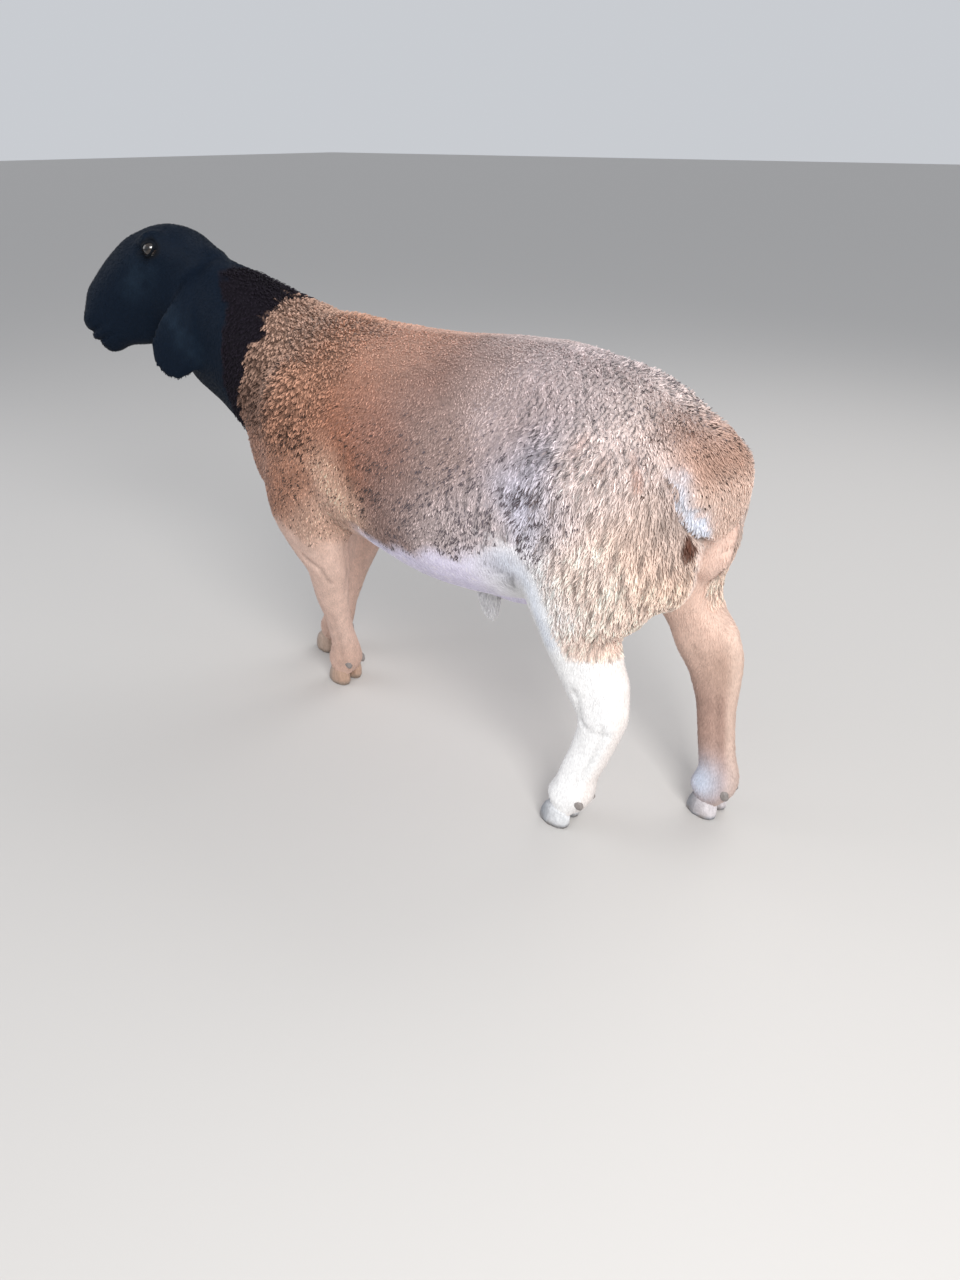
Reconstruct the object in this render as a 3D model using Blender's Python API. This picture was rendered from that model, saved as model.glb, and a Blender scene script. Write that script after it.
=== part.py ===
"""A shorn blackhead sheep standing still, life size, parted into the pieces of its body.

Metres, +Z up. It faces -Y and its left side is +X. The soles of its hooves are the floor at z = 0.
"""

import math

import bmesh
import bpy
import numpy as np
from mathutils import Matrix, Vector

# ---------------------------------------------------------------- driving sizes
HEAD_TURN = math.radians(37.0)  # the head looks to the sheep's left of straight ahead
HEAD_DROP = math.radians(30.0)  # the line from poll to nose falls by this much
POLL = Vector((0.030, -0.520, 0.742))  # top of the skull between the ears, 0.74 above the floor
EYE_RADIUS = 0.0135
EYE_PLACE = (0.053, 0.0500, 0.019)  # along the head, out to its side, up from the poll's line
EAR_WIDTH = 0.086
EAR_THICKNESS = 0.007
EAR_CUP = 0.22
CLAW_LENGTH = 0.051
CLAW_WIDTH = 0.027
CLAW_HEIGHT = 0.038
CLAW_SIDES = 10
CLAW_SPREAD = 0.0148  # from the middle of the foot to the middle of each claw
DEWCLAW_HEIGHT = 0.050
DEWCLAW_SPREAD = 0.0165
GAP = 0.0003  # the cut between two touching pieces
SLICE = 0.00045  # width of the slice between two pieces of the body
RING_SIDES = 28
VOXEL = 0.0045
BODY_FACES = 2800


def superellipse(angle, square):
    """Cosine and sine of an outline that is a circle at square 2 and boxier above it."""
    c, s = math.cos(angle), math.sin(angle)
    power = 2.0 / square
    return math.copysign(abs(c) ** power, c), math.copysign(abs(s) ** power, s)


def through(rows, steps):
    """A smooth run of rows through the given rows (Catmull-Rom), with so many steps between two."""
    rows = np.array(rows, float)
    ends = np.vstack([2 * rows[0] - rows[1], rows, 2 * rows[-1] - rows[-2]])
    found = []
    for a, b, c, d in zip(ends, ends[1:], ends[2:], ends[3:]):
        for k in range(steps):
            t = k / steps
            found.append(
                0.5 * (2 * b + (c - a) * t + (2 * a - 5 * b + 4 * c - d) * t * t + (3 * b - a - 3 * c + d) * t**3)
            )
    return np.array(found + [rows[-1]])


def tube(name, rows, side=(1, 0, 0), steps=4, square=2.15, dome=0.5, sides=RING_SIDES):
    """A closed form through rows of (x, y, z, half width, half size to the front or top, half size to the
    back or bottom). Its ends are domed by that share of their size."""
    run = through(rows, steps)
    centres = run[:, :3]
    forward = np.gradient(centres, axis=0)
    forward /= np.linalg.norm(forward, axis=1)[:, None]
    side = np.array(side, float)
    rings = []
    for centre, ahead, sizes in zip(centres, forward, run[:, 3:]):
        across = side - ahead * (side @ ahead)
        across /= np.linalg.norm(across)
        up = np.cross(across, ahead)
        rings.append((centre, across, up, ahead, sizes))

    def cap(ring, sign):
        """Three shrinking rings that close an end like a dome."""
        centre, across, up, ahead, sizes = ring
        depth = dome * min(sizes[0], (sizes[1] + sizes[2]) / 2)
        turned = [math.radians(a) for a in (30, 55, 76)]
        return [
            (centre + sign * ahead * depth * math.sin(a), across, up, ahead, sizes * math.cos(a)) for a in turned
        ]

    rings = cap(rings[0], -1)[::-1] + rings + cap(rings[-1], 1)
    mesh = bmesh.new()
    loops = []
    for centre, across, up, _, (half, above, below) in rings:
        loop = []
        for k in range(sides):
            c, s = superellipse(2 * math.pi * k / sides, square)
            place = centre + across * c * half + up * s * (above if s > 0 else below)
            loop.append(mesh.verts.new(place))
        loops.append(loop)
    for first, second in zip(loops, loops[1:]):
        for k in range(sides):
            n = (k + 1) % sides
            mesh.faces.new((first[k], first[n], second[n], second[k]))
    mesh.faces.new(loops[0][::-1])
    mesh.faces.new(loops[-1])
    bmesh.ops.recalc_face_normals(mesh, faces=mesh.faces)
    return finished(name, mesh)


def swell(mesh, amount):
    """Move the surface outwards by an even amount."""
    mesh.normal_update()
    moves = [(v, v.normal.copy()) for v in mesh.verts]
    for vert, way in moves:
        vert.co += way * amount


def finished(name, mesh):
    """The mesh as an object, its faces split the same way every time so that a piece matches its bed."""
    bmesh.ops.triangulate(mesh, faces=mesh.faces, quad_method="FIXED", ngon_method="EAR_CLIP")
    data = bpy.data.meshes.new(name)
    mesh.to_mesh(data)
    mesh.free()
    obj = bpy.data.objects.new(name, data)
    bpy.context.scene.collection.objects.link(obj)
    return obj


def ball(name, centre, sizes, turn=None, around=24):
    """An ellipsoid with these half sizes."""
    mesh = bmesh.new()
    bmesh.ops.create_uvsphere(mesh, u_segments=around, v_segments=around * 2 // 3, radius=1.0)
    place = Matrix.Translation(centre) @ (turn or Matrix.Identity(4)) @ Matrix.Diagonal((*sizes, 1))
    bmesh.ops.transform(mesh, matrix=place, verts=mesh.verts)
    return finished(name, mesh)


for old in list(bpy.data.objects):
    bpy.data.objects.remove(old)

# ---------------------------------------------------------------- trunk
# Stations from brisket to buttocks: y, top, widest, bottom, half width.
TRUNK = {
    "brisket": (-0.385, 0.600, 0.470, 0.385, 0.075),
    "chest": (-0.345, 0.640, 0.475, 0.340, 0.110),
    "shoulder": (-0.260, 0.652, 0.470, 0.322, 0.138),
    "withers": (-0.170, 0.646, 0.465, 0.326, 0.150),
    "girth": (-0.080, 0.645, 0.460, 0.318, 0.163),
    "ribs": (0.020, 0.648, 0.452, 0.298, 0.176),
    "belly": (0.110, 0.653, 0.455, 0.297, 0.176),
    "loin": (0.200, 0.652, 0.460, 0.312, 0.163),
    "hips": (0.285, 0.636, 0.470, 0.335, 0.148),
    "croup": (0.340, 0.600, 0.470, 0.365, 0.130),
    "buttocks": (0.380, 0.552, 0.465, 0.400, 0.098),
}


def trunk():
    rows = [
        (0, y, widest, half, top - widest, widest - bottom) for y, top, widest, bottom, half in TRUNK.values()
    ]
    return tube("trunk_form", rows, side=(1, 0, 0), square=2.25, dome=0.35)


def neck():
    rows = [
        (0.000, -0.240, 0.495, 0.125, 0.155, 0.150),
        (0.002, -0.330, 0.545, 0.110, 0.123, 0.135),
        (0.012, -0.410, 0.590, 0.090, 0.103, 0.128),
        (0.028, -0.475, 0.620, 0.074, 0.096, 0.118),
        (0.044, -0.518, 0.640, 0.060, 0.076, 0.092),
    ]
    return tube("neck_form", rows, side=(-1, 0, 0))


# ---------------------------------------------------------------- head
def head_frame():
    """Along the head from the poll (x), to its own left (y), and up (z)."""
    level = Vector((math.sin(HEAD_TURN), -math.cos(HEAD_TURN), 0))
    along = level * math.cos(HEAD_DROP) - Vector((0, 0, math.sin(HEAD_DROP)))
    left = Vector((0, 0, 1)).cross(level)
    up = along.cross(left)
    turn = Matrix((along, left, up)).transposed().to_4x4()
    return Matrix.Translation(POLL) @ turn, along, left


HEAD, ALONG, LEFT = head_frame()


def on_head(along, left, up):
    return HEAD @ Vector((along, left, up))


def head():
    """The skull and jaw: along, top, widest, bottom, half width."""
    stations = [
        (-0.010, -0.022, -0.050, -0.098, 0.034),
        (0.014, 0.010, -0.032, -0.106, 0.050),
        (0.046, 0.046, -0.004, -0.112, 0.060),
        (0.080, 0.057, -0.004, -0.113, 0.056),
        (0.115, 0.052, -0.012, -0.109, 0.047),
        (0.150, 0.042, -0.022, -0.100, 0.040),
        (0.185, 0.028, -0.032, -0.088, 0.035),
        (0.208, 0.014, -0.036, -0.080, 0.033),
        (0.223, 0.001, -0.038, -0.074, 0.029),
    ]
    rows = [(*on_head(t, 0, widest), half, top - widest, widest - bottom) for t, top, widest, bottom, half in stations]
    return tube("head_form", rows, side=tuple(-LEFT), dome=0.45)


def head_details():
    """Muscle and bone that stand out on both sides of the head: place, then half sizes, in the head's axes."""
    turn = HEAD.to_3x3().to_4x4()
    details = {
        "cheek": ((0.062, 0.036, -0.062), (0.050, 0.022, 0.044)),
        "brow": ((0.050, 0.046, 0.026), (0.027, 0.016, 0.020)),
        "under_eye": ((0.066, 0.044, 0.002), (0.024, 0.013, 0.016)),
        "nostril_rim": ((0.216, 0.016, -0.014), (0.014, 0.013, 0.015)),
        "lip": ((0.222, 0.011, -0.038), (0.018, 0.018, 0.016)),
        "chin": ((0.212, 0.007, -0.066), (0.021, 0.018, 0.014)),
    }
    return [
        ball(part, on_head(along, side * out, up), sizes, turn)
        for part, ((along, out, up), sizes) in details.items()
        for side in (1, -1)
    ]


# ---------------------------------------------------------------- limbs
# Rows down each leg: x, y, z, half width, half size to the front, half size to the back.
LEGS = {
    "hind_left": [
        (0.070, 0.280, 0.520, 0.075, 0.110, 0.112),
        (0.086, 0.276, 0.430, 0.077, 0.112, 0.122),
        (0.099, 0.274, 0.352, 0.062, 0.082, 0.096),
        (0.104, 0.276, 0.305, 0.046, 0.051, 0.062),
        (0.105, 0.293, 0.262, 0.034, 0.045, 0.057),
        (0.105, 0.310, 0.235, 0.028, 0.050, 0.051),
        (0.105, 0.321, 0.200, 0.025, 0.042, 0.039),
        (0.105, 0.316, 0.165, 0.022, 0.034, 0.032),
        (0.105, 0.305, 0.130, 0.021, 0.031, 0.030),
        (0.106, 0.291, 0.092, 0.023, 0.030, 0.029),
        (0.107, 0.284, 0.062, 0.027, 0.032, 0.033),
        (0.108, 0.271, 0.036, 0.028, 0.033, 0.029),
    ],
    "hind_right": [
        (-0.070, 0.298, 0.520, 0.075, 0.110, 0.112),
        (-0.086, 0.303, 0.430, 0.077, 0.114, 0.108),
        (-0.089, 0.328, 0.352, 0.060, 0.085, 0.076),
        (-0.085, 0.355, 0.302, 0.044, 0.052, 0.036),
        (-0.079, 0.380, 0.255, 0.033, 0.050, 0.050),
        (-0.074, 0.398, 0.230, 0.028, 0.047, 0.044),
        (-0.067, 0.408, 0.195, 0.025, 0.038, 0.036),
        (-0.060, 0.415, 0.160, 0.022, 0.031, 0.030),
        (-0.052, 0.422, 0.125, 0.021, 0.029, 0.029),
        (-0.044, 0.432, 0.090, 0.023, 0.029, 0.029),
        (-0.038, 0.438, 0.063, 0.027, 0.032, 0.034),
        (-0.036, 0.428, 0.036, 0.028, 0.033, 0.030),
    ],
    "fore_left": [
        (0.084, -0.215, 0.520, 0.060, 0.092, 0.090),
        (0.092, -0.216, 0.430, 0.060, 0.098, 0.084),
        (0.090, -0.222, 0.355, 0.048, 0.095, 0.068),
        (0.086, -0.222, 0.310, 0.037, 0.072, 0.052),
        (0.079, -0.220, 0.270, 0.031, 0.046, 0.041),
        (0.070, -0.227, 0.235, 0.027, 0.036, 0.034),
        (0.058, -0.235, 0.195, 0.025, 0.031, 0.029),
        (0.046, -0.241, 0.160, 0.021, 0.026, 0.026),
        (0.034, -0.247, 0.125, 0.020, 0.025, 0.025),
        (0.022, -0.253, 0.092, 0.022, 0.025, 0.027),
        (0.012, -0.261, 0.064, 0.026, 0.029, 0.033),
        (0.006, -0.274, 0.036, 0.028, 0.031, 0.029),
    ],
    "fore_right": [
        (-0.084, -0.220, 0.520, 0.060, 0.092, 0.090),
        (-0.092, -0.232, 0.430, 0.060, 0.092, 0.084),
        (-0.091, -0.250, 0.355, 0.047, 0.078, 0.062),
        (-0.089, -0.272, 0.300, 0.036, 0.055, 0.047),
        (-0.085, -0.296, 0.240, 0.028, 0.037, 0.035),
        (-0.081, -0.314, 0.195, 0.025, 0.031, 0.029),
        (-0.077, -0.327, 0.155, 0.021, 0.026, 0.026),
        (-0.073, -0.341, 0.115, 0.020, 0.025, 0.025),
        (-0.070, -0.356, 0.080, 0.025, 0.027, 0.031),
        (-0.068, -0.372, 0.040, 0.028, 0.031, 0.030),
    ],
}


# Middle of the two claws of each foot on the floor, and how far the toes point outwards, in degrees.
FEET = {
    "hind_left": (0.108, 0.266, 4.0),
    "hind_right": (-0.040, 0.430, -4.0),
    "fore_left": (0.004, -0.273, 2.0),
    "fore_right": (-0.068, -0.381, -6.0),
}


def foot_frame(foot):
    """Toe direction along -Y, the sheep's left along +X, before the turn of that foot."""
    x, y, turn = FEET[foot]
    return Matrix.Translation((x, y, 0)) @ Matrix.Rotation(math.radians(turn), 4, "Z")


def claw(name, foot, side, grow=0.0):
    """One hoof of a cloven pair: flat sole, sloping front wall, round heel, nearly flat inner wall."""
    # height above the floor, then sizes relative to the sole's: to the toe, to the heel, across
    levels = [
        (0.000, 0.93, 0.90, 0.90),
        (0.004, 1.00, 1.00, 1.00),
        (0.016, 0.92, 1.02, 1.02),
        (0.028, 0.74, 0.92, 0.90),
        (CLAW_HEIGHT, 0.36, 0.55, 0.50),
    ]
    toe = CLAW_LENGTH * 0.60
    heel = CLAW_LENGTH * 0.40
    across = CLAW_WIDTH / 2
    place = foot_frame(foot) @ Matrix.Translation((side * CLAW_SPREAD, 0, 0))
    mesh = bmesh.new()
    loops = []
    for height, front, back, wide in levels:
        loop = []
        for k in range(CLAW_SIDES):
            angle = 2 * math.pi * (k + 0.5) / CLAW_SIDES
            c, s = superellipse(angle, 2.3)
            reach = toe * front if s < 0 else heel * back
            narrow = 1.0 - 0.38 * max(0.0, -s) ** 2
            inner = 0.82 if c * side < 0 else 1.0
            x = c * across * wide * narrow * inner + side * (-0.0035) * max(0.0, -s) ** 2
            loop.append(mesh.verts.new((x, s * reach, height)))
        loops.append(loop)
    for first, second in zip(loops, loops[1:]):
        for k in range(CLAW_SIDES):
            n = (k + 1) % CLAW_SIDES
            mesh.faces.new((first[k], first[n], second[n], second[k]))
    mesh.faces.new(loops[0][::-1])
    mesh.faces.new(loops[-1])
    bmesh.ops.recalc_face_normals(mesh, faces=mesh.faces)
    bmesh.ops.transform(mesh, matrix=place, verts=mesh.verts)
    swell(mesh, grow)
    return finished(name, mesh)


def heel_of(foot, height):
    """Where the back of the leg's rows lies at a height."""
    rows = np.array(LEGS[foot])[::-1]
    x, y, back = (np.interp(height, rows[:, 2], rows[:, column]) for column in (0, 1, 5))
    return x, y + back


def dewclaw(name, foot, side, grow=0.0):
    """The small horn nub high on the back of the foot."""
    x, y = heel_of(foot, DEWCLAW_HEIGHT)
    turn = Matrix.Rotation(math.radians(FEET[foot][2]), 4, "Z") @ Matrix.Rotation(math.radians(30), 4, "X")
    place = (x + side * DEWCLAW_SPREAD, y - 0.0075, DEWCLAW_HEIGHT)
    return ball(name, place, (0.0065 + grow, 0.0080 + grow, 0.0110 + grow), turn, around=7)


def ear(name, side, grow=0.0):
    """A long hanging ear: a cupped leaf that leaves the side of the skull and drops beside the cheek."""
    # ahead, out and up from the poll with up kept plumb, then the share of the full width
    spine = [
        (-0.010, 0.030, -0.028, 0.36),
        (-0.013, 0.054, -0.044, 0.42),
        (-0.009, 0.076, -0.070, 0.60),
        (0.002, 0.088, -0.102, 0.82),
        (0.016, 0.091, -0.134, 0.97),
        (0.028, 0.090, -0.162, 1.00),
        (0.036, 0.087, -0.187, 0.78),
        (0.040, 0.084, -0.204, 0.30),
    ]
    level = Vector((math.sin(HEAD_TURN), -math.cos(HEAD_TURN), 0))
    hang = Matrix((level, LEFT, Vector((0, 0, 1)))).transposed()
    run = through(spine, 2)
    down = np.gradient(run[:, :3], axis=0)
    across = 2
    mesh = bmesh.new()
    rings = []
    for row, fall in zip(run, down):
        middle = Vector(row[:3])
        fall = Vector(fall).normalized()
        ahead = Vector((1, 0, 0))
        ahead = (ahead - fall * ahead.dot(fall)).normalized()
        out = ahead.cross(fall)
        half = row[3] * EAR_WIDTH / 2
        outer, inner = [], []
        for k in range(-across, across + 1):
            u = k / across
            edge = EAR_THICKNESS / 2 * math.sqrt(1 - 0.80 * u * u)
            spot = middle + ahead * u * half - out * EAR_CUP * half * u * u
            outer.append(spot + out * edge)
            inner.append(spot - out * edge)
        ring = []
        for spot in outer + inner[::-1]:
            ring.append(mesh.verts.new(POLL + hang @ Vector((spot.x, side * spot.y, spot.z))))
        rings.append(ring)
    around = len(rings[0])
    for first, second in zip(rings, rings[1:]):
        for k in range(around):
            n = (k + 1) % around
            mesh.faces.new((first[k], first[n], second[n], second[k]))
    mesh.faces.new(rings[0][::-1])
    mesh.faces.new(rings[-1])
    bmesh.ops.recalc_face_normals(mesh, faces=mesh.faces)
    swell(mesh, grow)
    return finished(name, mesh)


def tail():
    """The fat tail, a broad flap across the rump that hangs over the buttocks and ends in a blunt point."""
    rows = [
        (0.000, 0.345, 0.580, 0.060, 0.020, 0.030),
        (0.000, 0.376, 0.552, 0.076, 0.024, 0.030),
        (0.000, 0.396, 0.518, 0.084, 0.026, 0.028),
        (0.002, 0.403, 0.487, 0.070, 0.022, 0.024),
        (0.020, 0.400, 0.452, 0.034, 0.015, 0.016),
    ]
    return tube("tail_form", rows, square=2.6, dome=0.6)


def sheath_tuft(name, grow=0.0):
    """The tuft of long hair at the opening of the sheath."""
    rows = [
        (0.000, 0.052, 0.281, 0.014, 0.016, 0.016),
        (0.000, 0.052, 0.262, 0.012, 0.015, 0.015),
        (0.000, 0.054, 0.242, 0.008, 0.010, 0.010),
        (0.000, 0.056, 0.228, 0.004, 0.005, 0.005),
    ]
    rows = [(x, y, z, half + grow, above + grow, below + grow) for x, y, z, half, above, below in rows]
    return tube(name, rows, steps=1, dome=0.6, sides=8)


def body_details():
    """Muscle and fat that stand out on the body: place, then half sizes. Those off the middle are on both sides."""
    details = {
        "breast": ((0.000, -0.352, 0.425), (0.070, 0.058, 0.075)),
        "shoulder_muscle": ((0.108, -0.215, 0.490), (0.048, 0.088, 0.120)),
        "haunch": ((0.098, 0.255, 0.480), (0.066, 0.115, 0.120)),
        "buttock": ((0.062, 0.368, 0.425), (0.048, 0.048, 0.075)),
        "sheath": ((0.000, 0.095, 0.288), (0.024, 0.085, 0.024)),
        "purse": ((0.000, 0.268, 0.352), (0.034, 0.040, 0.042)),
    }
    found = []
    for part, ((x, y, z), sizes) in details.items():
        for side in (1, -1) if x else (1,):
            found.append(ball(part, (side * x, y, z), sizes))
    return found


# ---------------------------------------------------------------- one body from all the forms
def whole_body():
    """Every form fused into one closed surface, smoothed, with fewer faces where the body is plain."""
    forms = [trunk(), neck(), head(), tail(), *head_details(), *body_details()]
    forms += [tube(leg + "_form", rows, side=(-1, 0, 0), dome=0.4) for leg, rows in LEGS.items()]
    bpy.ops.object.select_all(action="DESELECT")
    for form in forms:
        form.select_set(True)
    body = forms[0]
    bpy.context.view_layer.objects.active = body
    bpy.ops.object.join()
    body.name = body.data.name = "body"
    remesh = body.modifiers.new("fuse", "REMESH")
    remesh.mode = "VOXEL"
    remesh.voxel_size = VOXEL
    soften = body.modifiers.new("soften", "SMOOTH")
    soften.factor = 0.5
    soften.iterations = 6
    bpy.ops.object.modifier_apply(modifier=remesh.name)
    bpy.ops.object.modifier_apply(modifier=soften.name)
    fewer = body.modifiers.new("fewer", "DECIMATE")
    fewer.ratio = BODY_FACES / (2 * len(body.data.polygons))
    bpy.ops.object.modifier_apply(modifier=fewer.name)
    return body


def cut(target, cutter, operation):
    """A Boolean on the target, applied at once. The cutter stays."""
    cutter.hide_render = True
    cutter.display_type = "WIRE"
    step = target.modifiers.new("cut", "BOOLEAN")
    step.operation = operation
    step.solver = "EXACT"
    step.object = cutter
    bpy.context.view_layer.objects.active = target
    bpy.ops.object.modifier_apply(modifier=step.name)


def drop(obj):
    bpy.data.objects.remove(obj)


def box(name, frame, low, high, grow=0.0):
    """A box from low to high in a frame, larger all round by grow."""
    mesh = bmesh.new()
    bmesh.ops.create_cube(mesh, size=1.0)
    low = Vector(low) - Vector((grow, grow, grow))
    high = Vector(high) + Vector((grow, grow, grow))
    place = frame @ Matrix.Translation((low + high) / 2) @ Matrix.Diagonal((*(high - low), 1))
    bmesh.ops.transform(mesh, matrix=place, verts=mesh.verts)
    return finished(name, mesh)


def part_off(body, name, frame, low, high):
    """Take what is inside a box off the body as a piece of its own, leaving a slice between them."""
    piece = body.copy()
    piece.data = body.data.copy()
    piece.name = piece.data.name = name
    bpy.context.scene.collection.objects.link(piece)
    inside = box("inside", frame, low, high)
    cut(piece, inside, "INTERSECT")
    drop(inside)
    outside = box("outside", frame, low, high, SLICE)
    cut(body, outside, "DIFFERENCE")
    drop(outside)
    return piece


def let_in(hosts, make):
    """Cut the bed of a smaller piece out of its hosts, then make the piece."""
    bed = make(grow=GAP)
    for host in hosts:
        cut(host, bed, "DIFFERENCE")
    drop(bed)
    return make(grow=0.0)


def paint(obj, colour, roughness):
    material = bpy.data.materials.new(obj.name)
    material.use_nodes = True
    shader = material.node_tree.nodes["Principled BSDF"]
    shader.inputs["Base Color"].default_value = (*colour, 1.0)
    shader.inputs["Roughness"].default_value = roughness
    shader.inputs["Metallic"].default_value = 0.0
    obj.data.materials.clear()
    obj.data.materials.append(material)


BLACK_HAIR = (0.016, 0.018, 0.026)
BROWN_WOOL = (0.050, 0.038, 0.036)
CREAM_WOOL = (0.560, 0.450, 0.370)
WHITE_HAIR = (0.720, 0.640, 0.590)
HORN = (0.420, 0.370, 0.330)
DARK_HORN = (0.120, 0.105, 0.095)
EYE = (0.020, 0.015, 0.012)

body = whole_body()
UPRIGHT = Matrix.Identity(4)
pieces = {}

# Each limb in two, parted at the hock or the knee: name of the upper piece, its box, and the lower box's sides.
LIMB_CUTS = {
    "hind_left": ("thigh", (0.022, 0.140, 0.222), (0.200, 0.420, 0.415), (0.040, 0.160), (0.220, 0.400)),
    "hind_right": ("thigh", (-0.200, 0.165, 0.217), (-0.022, 0.470, 0.415), (-0.140, 0.020), (0.330, 0.510)),
    "fore_left": ("forearm", (0.024, -0.345, 0.190), (0.200, -0.120, 0.365), (-0.032, 0.120), (-0.360, -0.170)),
    "fore_right": ("forearm", (-0.200, -0.350, 0.190), (-0.024, -0.140, 0.365), (-0.140, -0.033), (-0.450, -0.250)),
}
LOWER = {"thigh": "shank", "forearm": "shin"}
for limb, (upper, low, high, xs, ys) in LIMB_CUTS.items():
    knee = low[2]
    name = limb + "_" + LOWER[upper]
    pieces[name] = part_off(body, name, UPRIGHT, (xs[0], ys[0], -0.05), (xs[1], ys[1], knee))
    name = limb + "_" + upper
    pieces[name] = part_off(body, name, UPRIGHT, (low[0], low[1], knee + SLICE), high)

pieces["head"] = part_off(body, "head", HEAD, (-0.010, -0.13, -0.121), (0.30, 0.13, 0.12))
pieces["lower_jaw"] = part_off(pieces["head"], "lower_jaw", HEAD, (0.160, -0.13, -0.13), (0.30, 0.13, -0.050))
neck_frame = Matrix.Translation((0, -0.362, 0.575)) @ Matrix.Rotation(math.radians(-17.6), 4, "X")
pieces["neck"] = part_off(body, "neck", neck_frame, (-0.3, -0.4, -0.3), (0.3, 0.0, 0.4))
tail_frame = Matrix.Translation((0, 0.378, 0.515)) @ Matrix.Rotation(math.radians(22.0), 4, "X")
pieces["tail"] = part_off(body, "tail", tail_frame, (-0.088, 0.0, -0.080), (0.088, 0.2, 0.060))
body.name = body.data.name = "trunk"
pieces["trunk"] = body

# ---------------------------------------------------------------- the pieces let into the body
for side, label in ((1, "left"), (-1, "right")):
    along, out, up = EYE_PLACE
    centre = on_head(along, side * out, up)
    name = "eye_" + label
    pieces[name] = let_in([pieces["head"]], lambda grow: ball(name, centre, [EYE_RADIUS + grow] * 3, around=14))
    name = "ear_" + label
    pieces[name] = let_in([pieces["head"], pieces["neck"]], lambda grow: ear(name, side, grow))
pieces["sheath_tuft"] = let_in([pieces["trunk"]], lambda grow: sheath_tuft("sheath_tuft", grow))
for foot in FEET:
    shank = pieces[foot + "_" + ("shank" if "hind" in foot else "shin")]
    for side, label in ((1, "left"), (-1, "right")):
        name = foot + "_claw_" + label
        pieces[name] = let_in([shank], lambda grow: claw(name, foot, side, grow))
        name = foot + "_dewclaw_" + label
        pieces[name] = let_in([shank], lambda grow: dewclaw(name, foot, side, grow))

# ---------------------------------------------------------------- origin under the middle of the whole animal
corners = np.array([corner for piece in pieces.values() for corner in piece.bound_box])
middle = (corners.min(axis=0) + corners.max(axis=0)) / 2
for piece in pieces.values():
    piece.data.transform(Matrix.Translation((-middle[0], -middle[1], 0)))

# ---------------------------------------------------------------- looks
for name, piece in pieces.items():
    if "dewclaw" in name:
        paint(piece, DARK_HORN, 0.6)
    elif "claw" in name:
        paint(piece, HORN, 0.5)
    elif "eye" in name:
        paint(piece, EYE, 0.1)
    elif name in ("head", "lower_jaw") or "ear_" in name:
        paint(piece, BLACK_HAIR, 0.5)
    elif name == "neck":
        paint(piece, BROWN_WOOL, 0.9)
    elif "shank" in name or "shin" in name or "tuft" in name:
        paint(piece, WHITE_HAIR, 0.7)
    else:
        paint(piece, CREAM_WOOL, 0.9)
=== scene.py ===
# %% [markdown]
# # A shorn blackhead sheep that stands still
# This lesson dresses the solids of a sheep: they hold its size, its pose and its weight, and here it
# gets one skin without seams, a coat of small locks, eyes and hooves. The coat of a shorn sheep is
# short wool in clumps on the body, and flat hair on the face, the legs and the belly. Nothing moves,
# so every piece rides on the one body, "root".

import math

import bpy
import numpy as np
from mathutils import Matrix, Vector
from mathutils.bvhtree import BVHTree
from mathutils.kdtree import KDTree


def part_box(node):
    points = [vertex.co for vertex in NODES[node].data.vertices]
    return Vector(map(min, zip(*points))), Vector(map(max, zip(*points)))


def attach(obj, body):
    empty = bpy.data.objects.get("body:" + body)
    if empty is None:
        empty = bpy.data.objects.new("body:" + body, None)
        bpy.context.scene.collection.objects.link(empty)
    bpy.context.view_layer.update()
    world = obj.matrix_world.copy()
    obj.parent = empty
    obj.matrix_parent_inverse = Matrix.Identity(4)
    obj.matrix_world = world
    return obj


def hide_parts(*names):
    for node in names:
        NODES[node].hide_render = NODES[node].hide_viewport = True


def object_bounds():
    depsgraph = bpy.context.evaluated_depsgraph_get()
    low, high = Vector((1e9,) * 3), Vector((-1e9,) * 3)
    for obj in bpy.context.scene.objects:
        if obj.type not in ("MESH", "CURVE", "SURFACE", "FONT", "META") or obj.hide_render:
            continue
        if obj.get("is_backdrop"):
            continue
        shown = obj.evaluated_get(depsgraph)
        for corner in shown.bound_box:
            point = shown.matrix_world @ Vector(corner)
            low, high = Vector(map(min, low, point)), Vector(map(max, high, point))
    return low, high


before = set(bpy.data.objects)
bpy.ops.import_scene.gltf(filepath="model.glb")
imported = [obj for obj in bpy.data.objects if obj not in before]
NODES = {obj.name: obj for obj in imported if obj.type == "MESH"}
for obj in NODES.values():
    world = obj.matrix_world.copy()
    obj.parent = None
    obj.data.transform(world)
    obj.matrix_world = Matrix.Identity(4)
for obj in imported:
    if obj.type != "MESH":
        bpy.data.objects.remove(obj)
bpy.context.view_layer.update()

# %% [markdown]
# ## Camera
# The viewer stands behind the sheep's left shoulder, about 1.4 m away, and looks down on it at 28
# degrees. The lens is short, so the near hind leg looks larger than the head. The roll is zero.

# %% Camera
CAMERA_PLACE = Vector((1.087, 0.963, 0.9))
CAMERA_HEADING = Vector((-0.7976, -0.6032, 0))
CAMERA_PITCH = math.radians(28.0)
LENS, SENSOR_WIDTH = 27.14, 36.0  # in millimetres


def add_to_scene(obj):
    bpy.context.scene.collection.objects.link(obj)


look = CAMERA_HEADING * math.cos(CAMERA_PITCH) - Vector((0, 0, math.sin(CAMERA_PITCH)))
camera_data = bpy.data.cameras.new("camera")
camera_data.lens = LENS
camera_data.sensor_width = SENSOR_WIDTH
camera = bpy.data.objects.new("camera", camera_data)
camera.location = CAMERA_PLACE
camera.rotation_euler = look.to_track_quat("-Z", "Y").to_euler()
add_to_scene(camera)
bpy.context.scene.camera = camera
print("camera is", round(CAMERA_PLACE.z, 2), "m above the floor")

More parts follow.
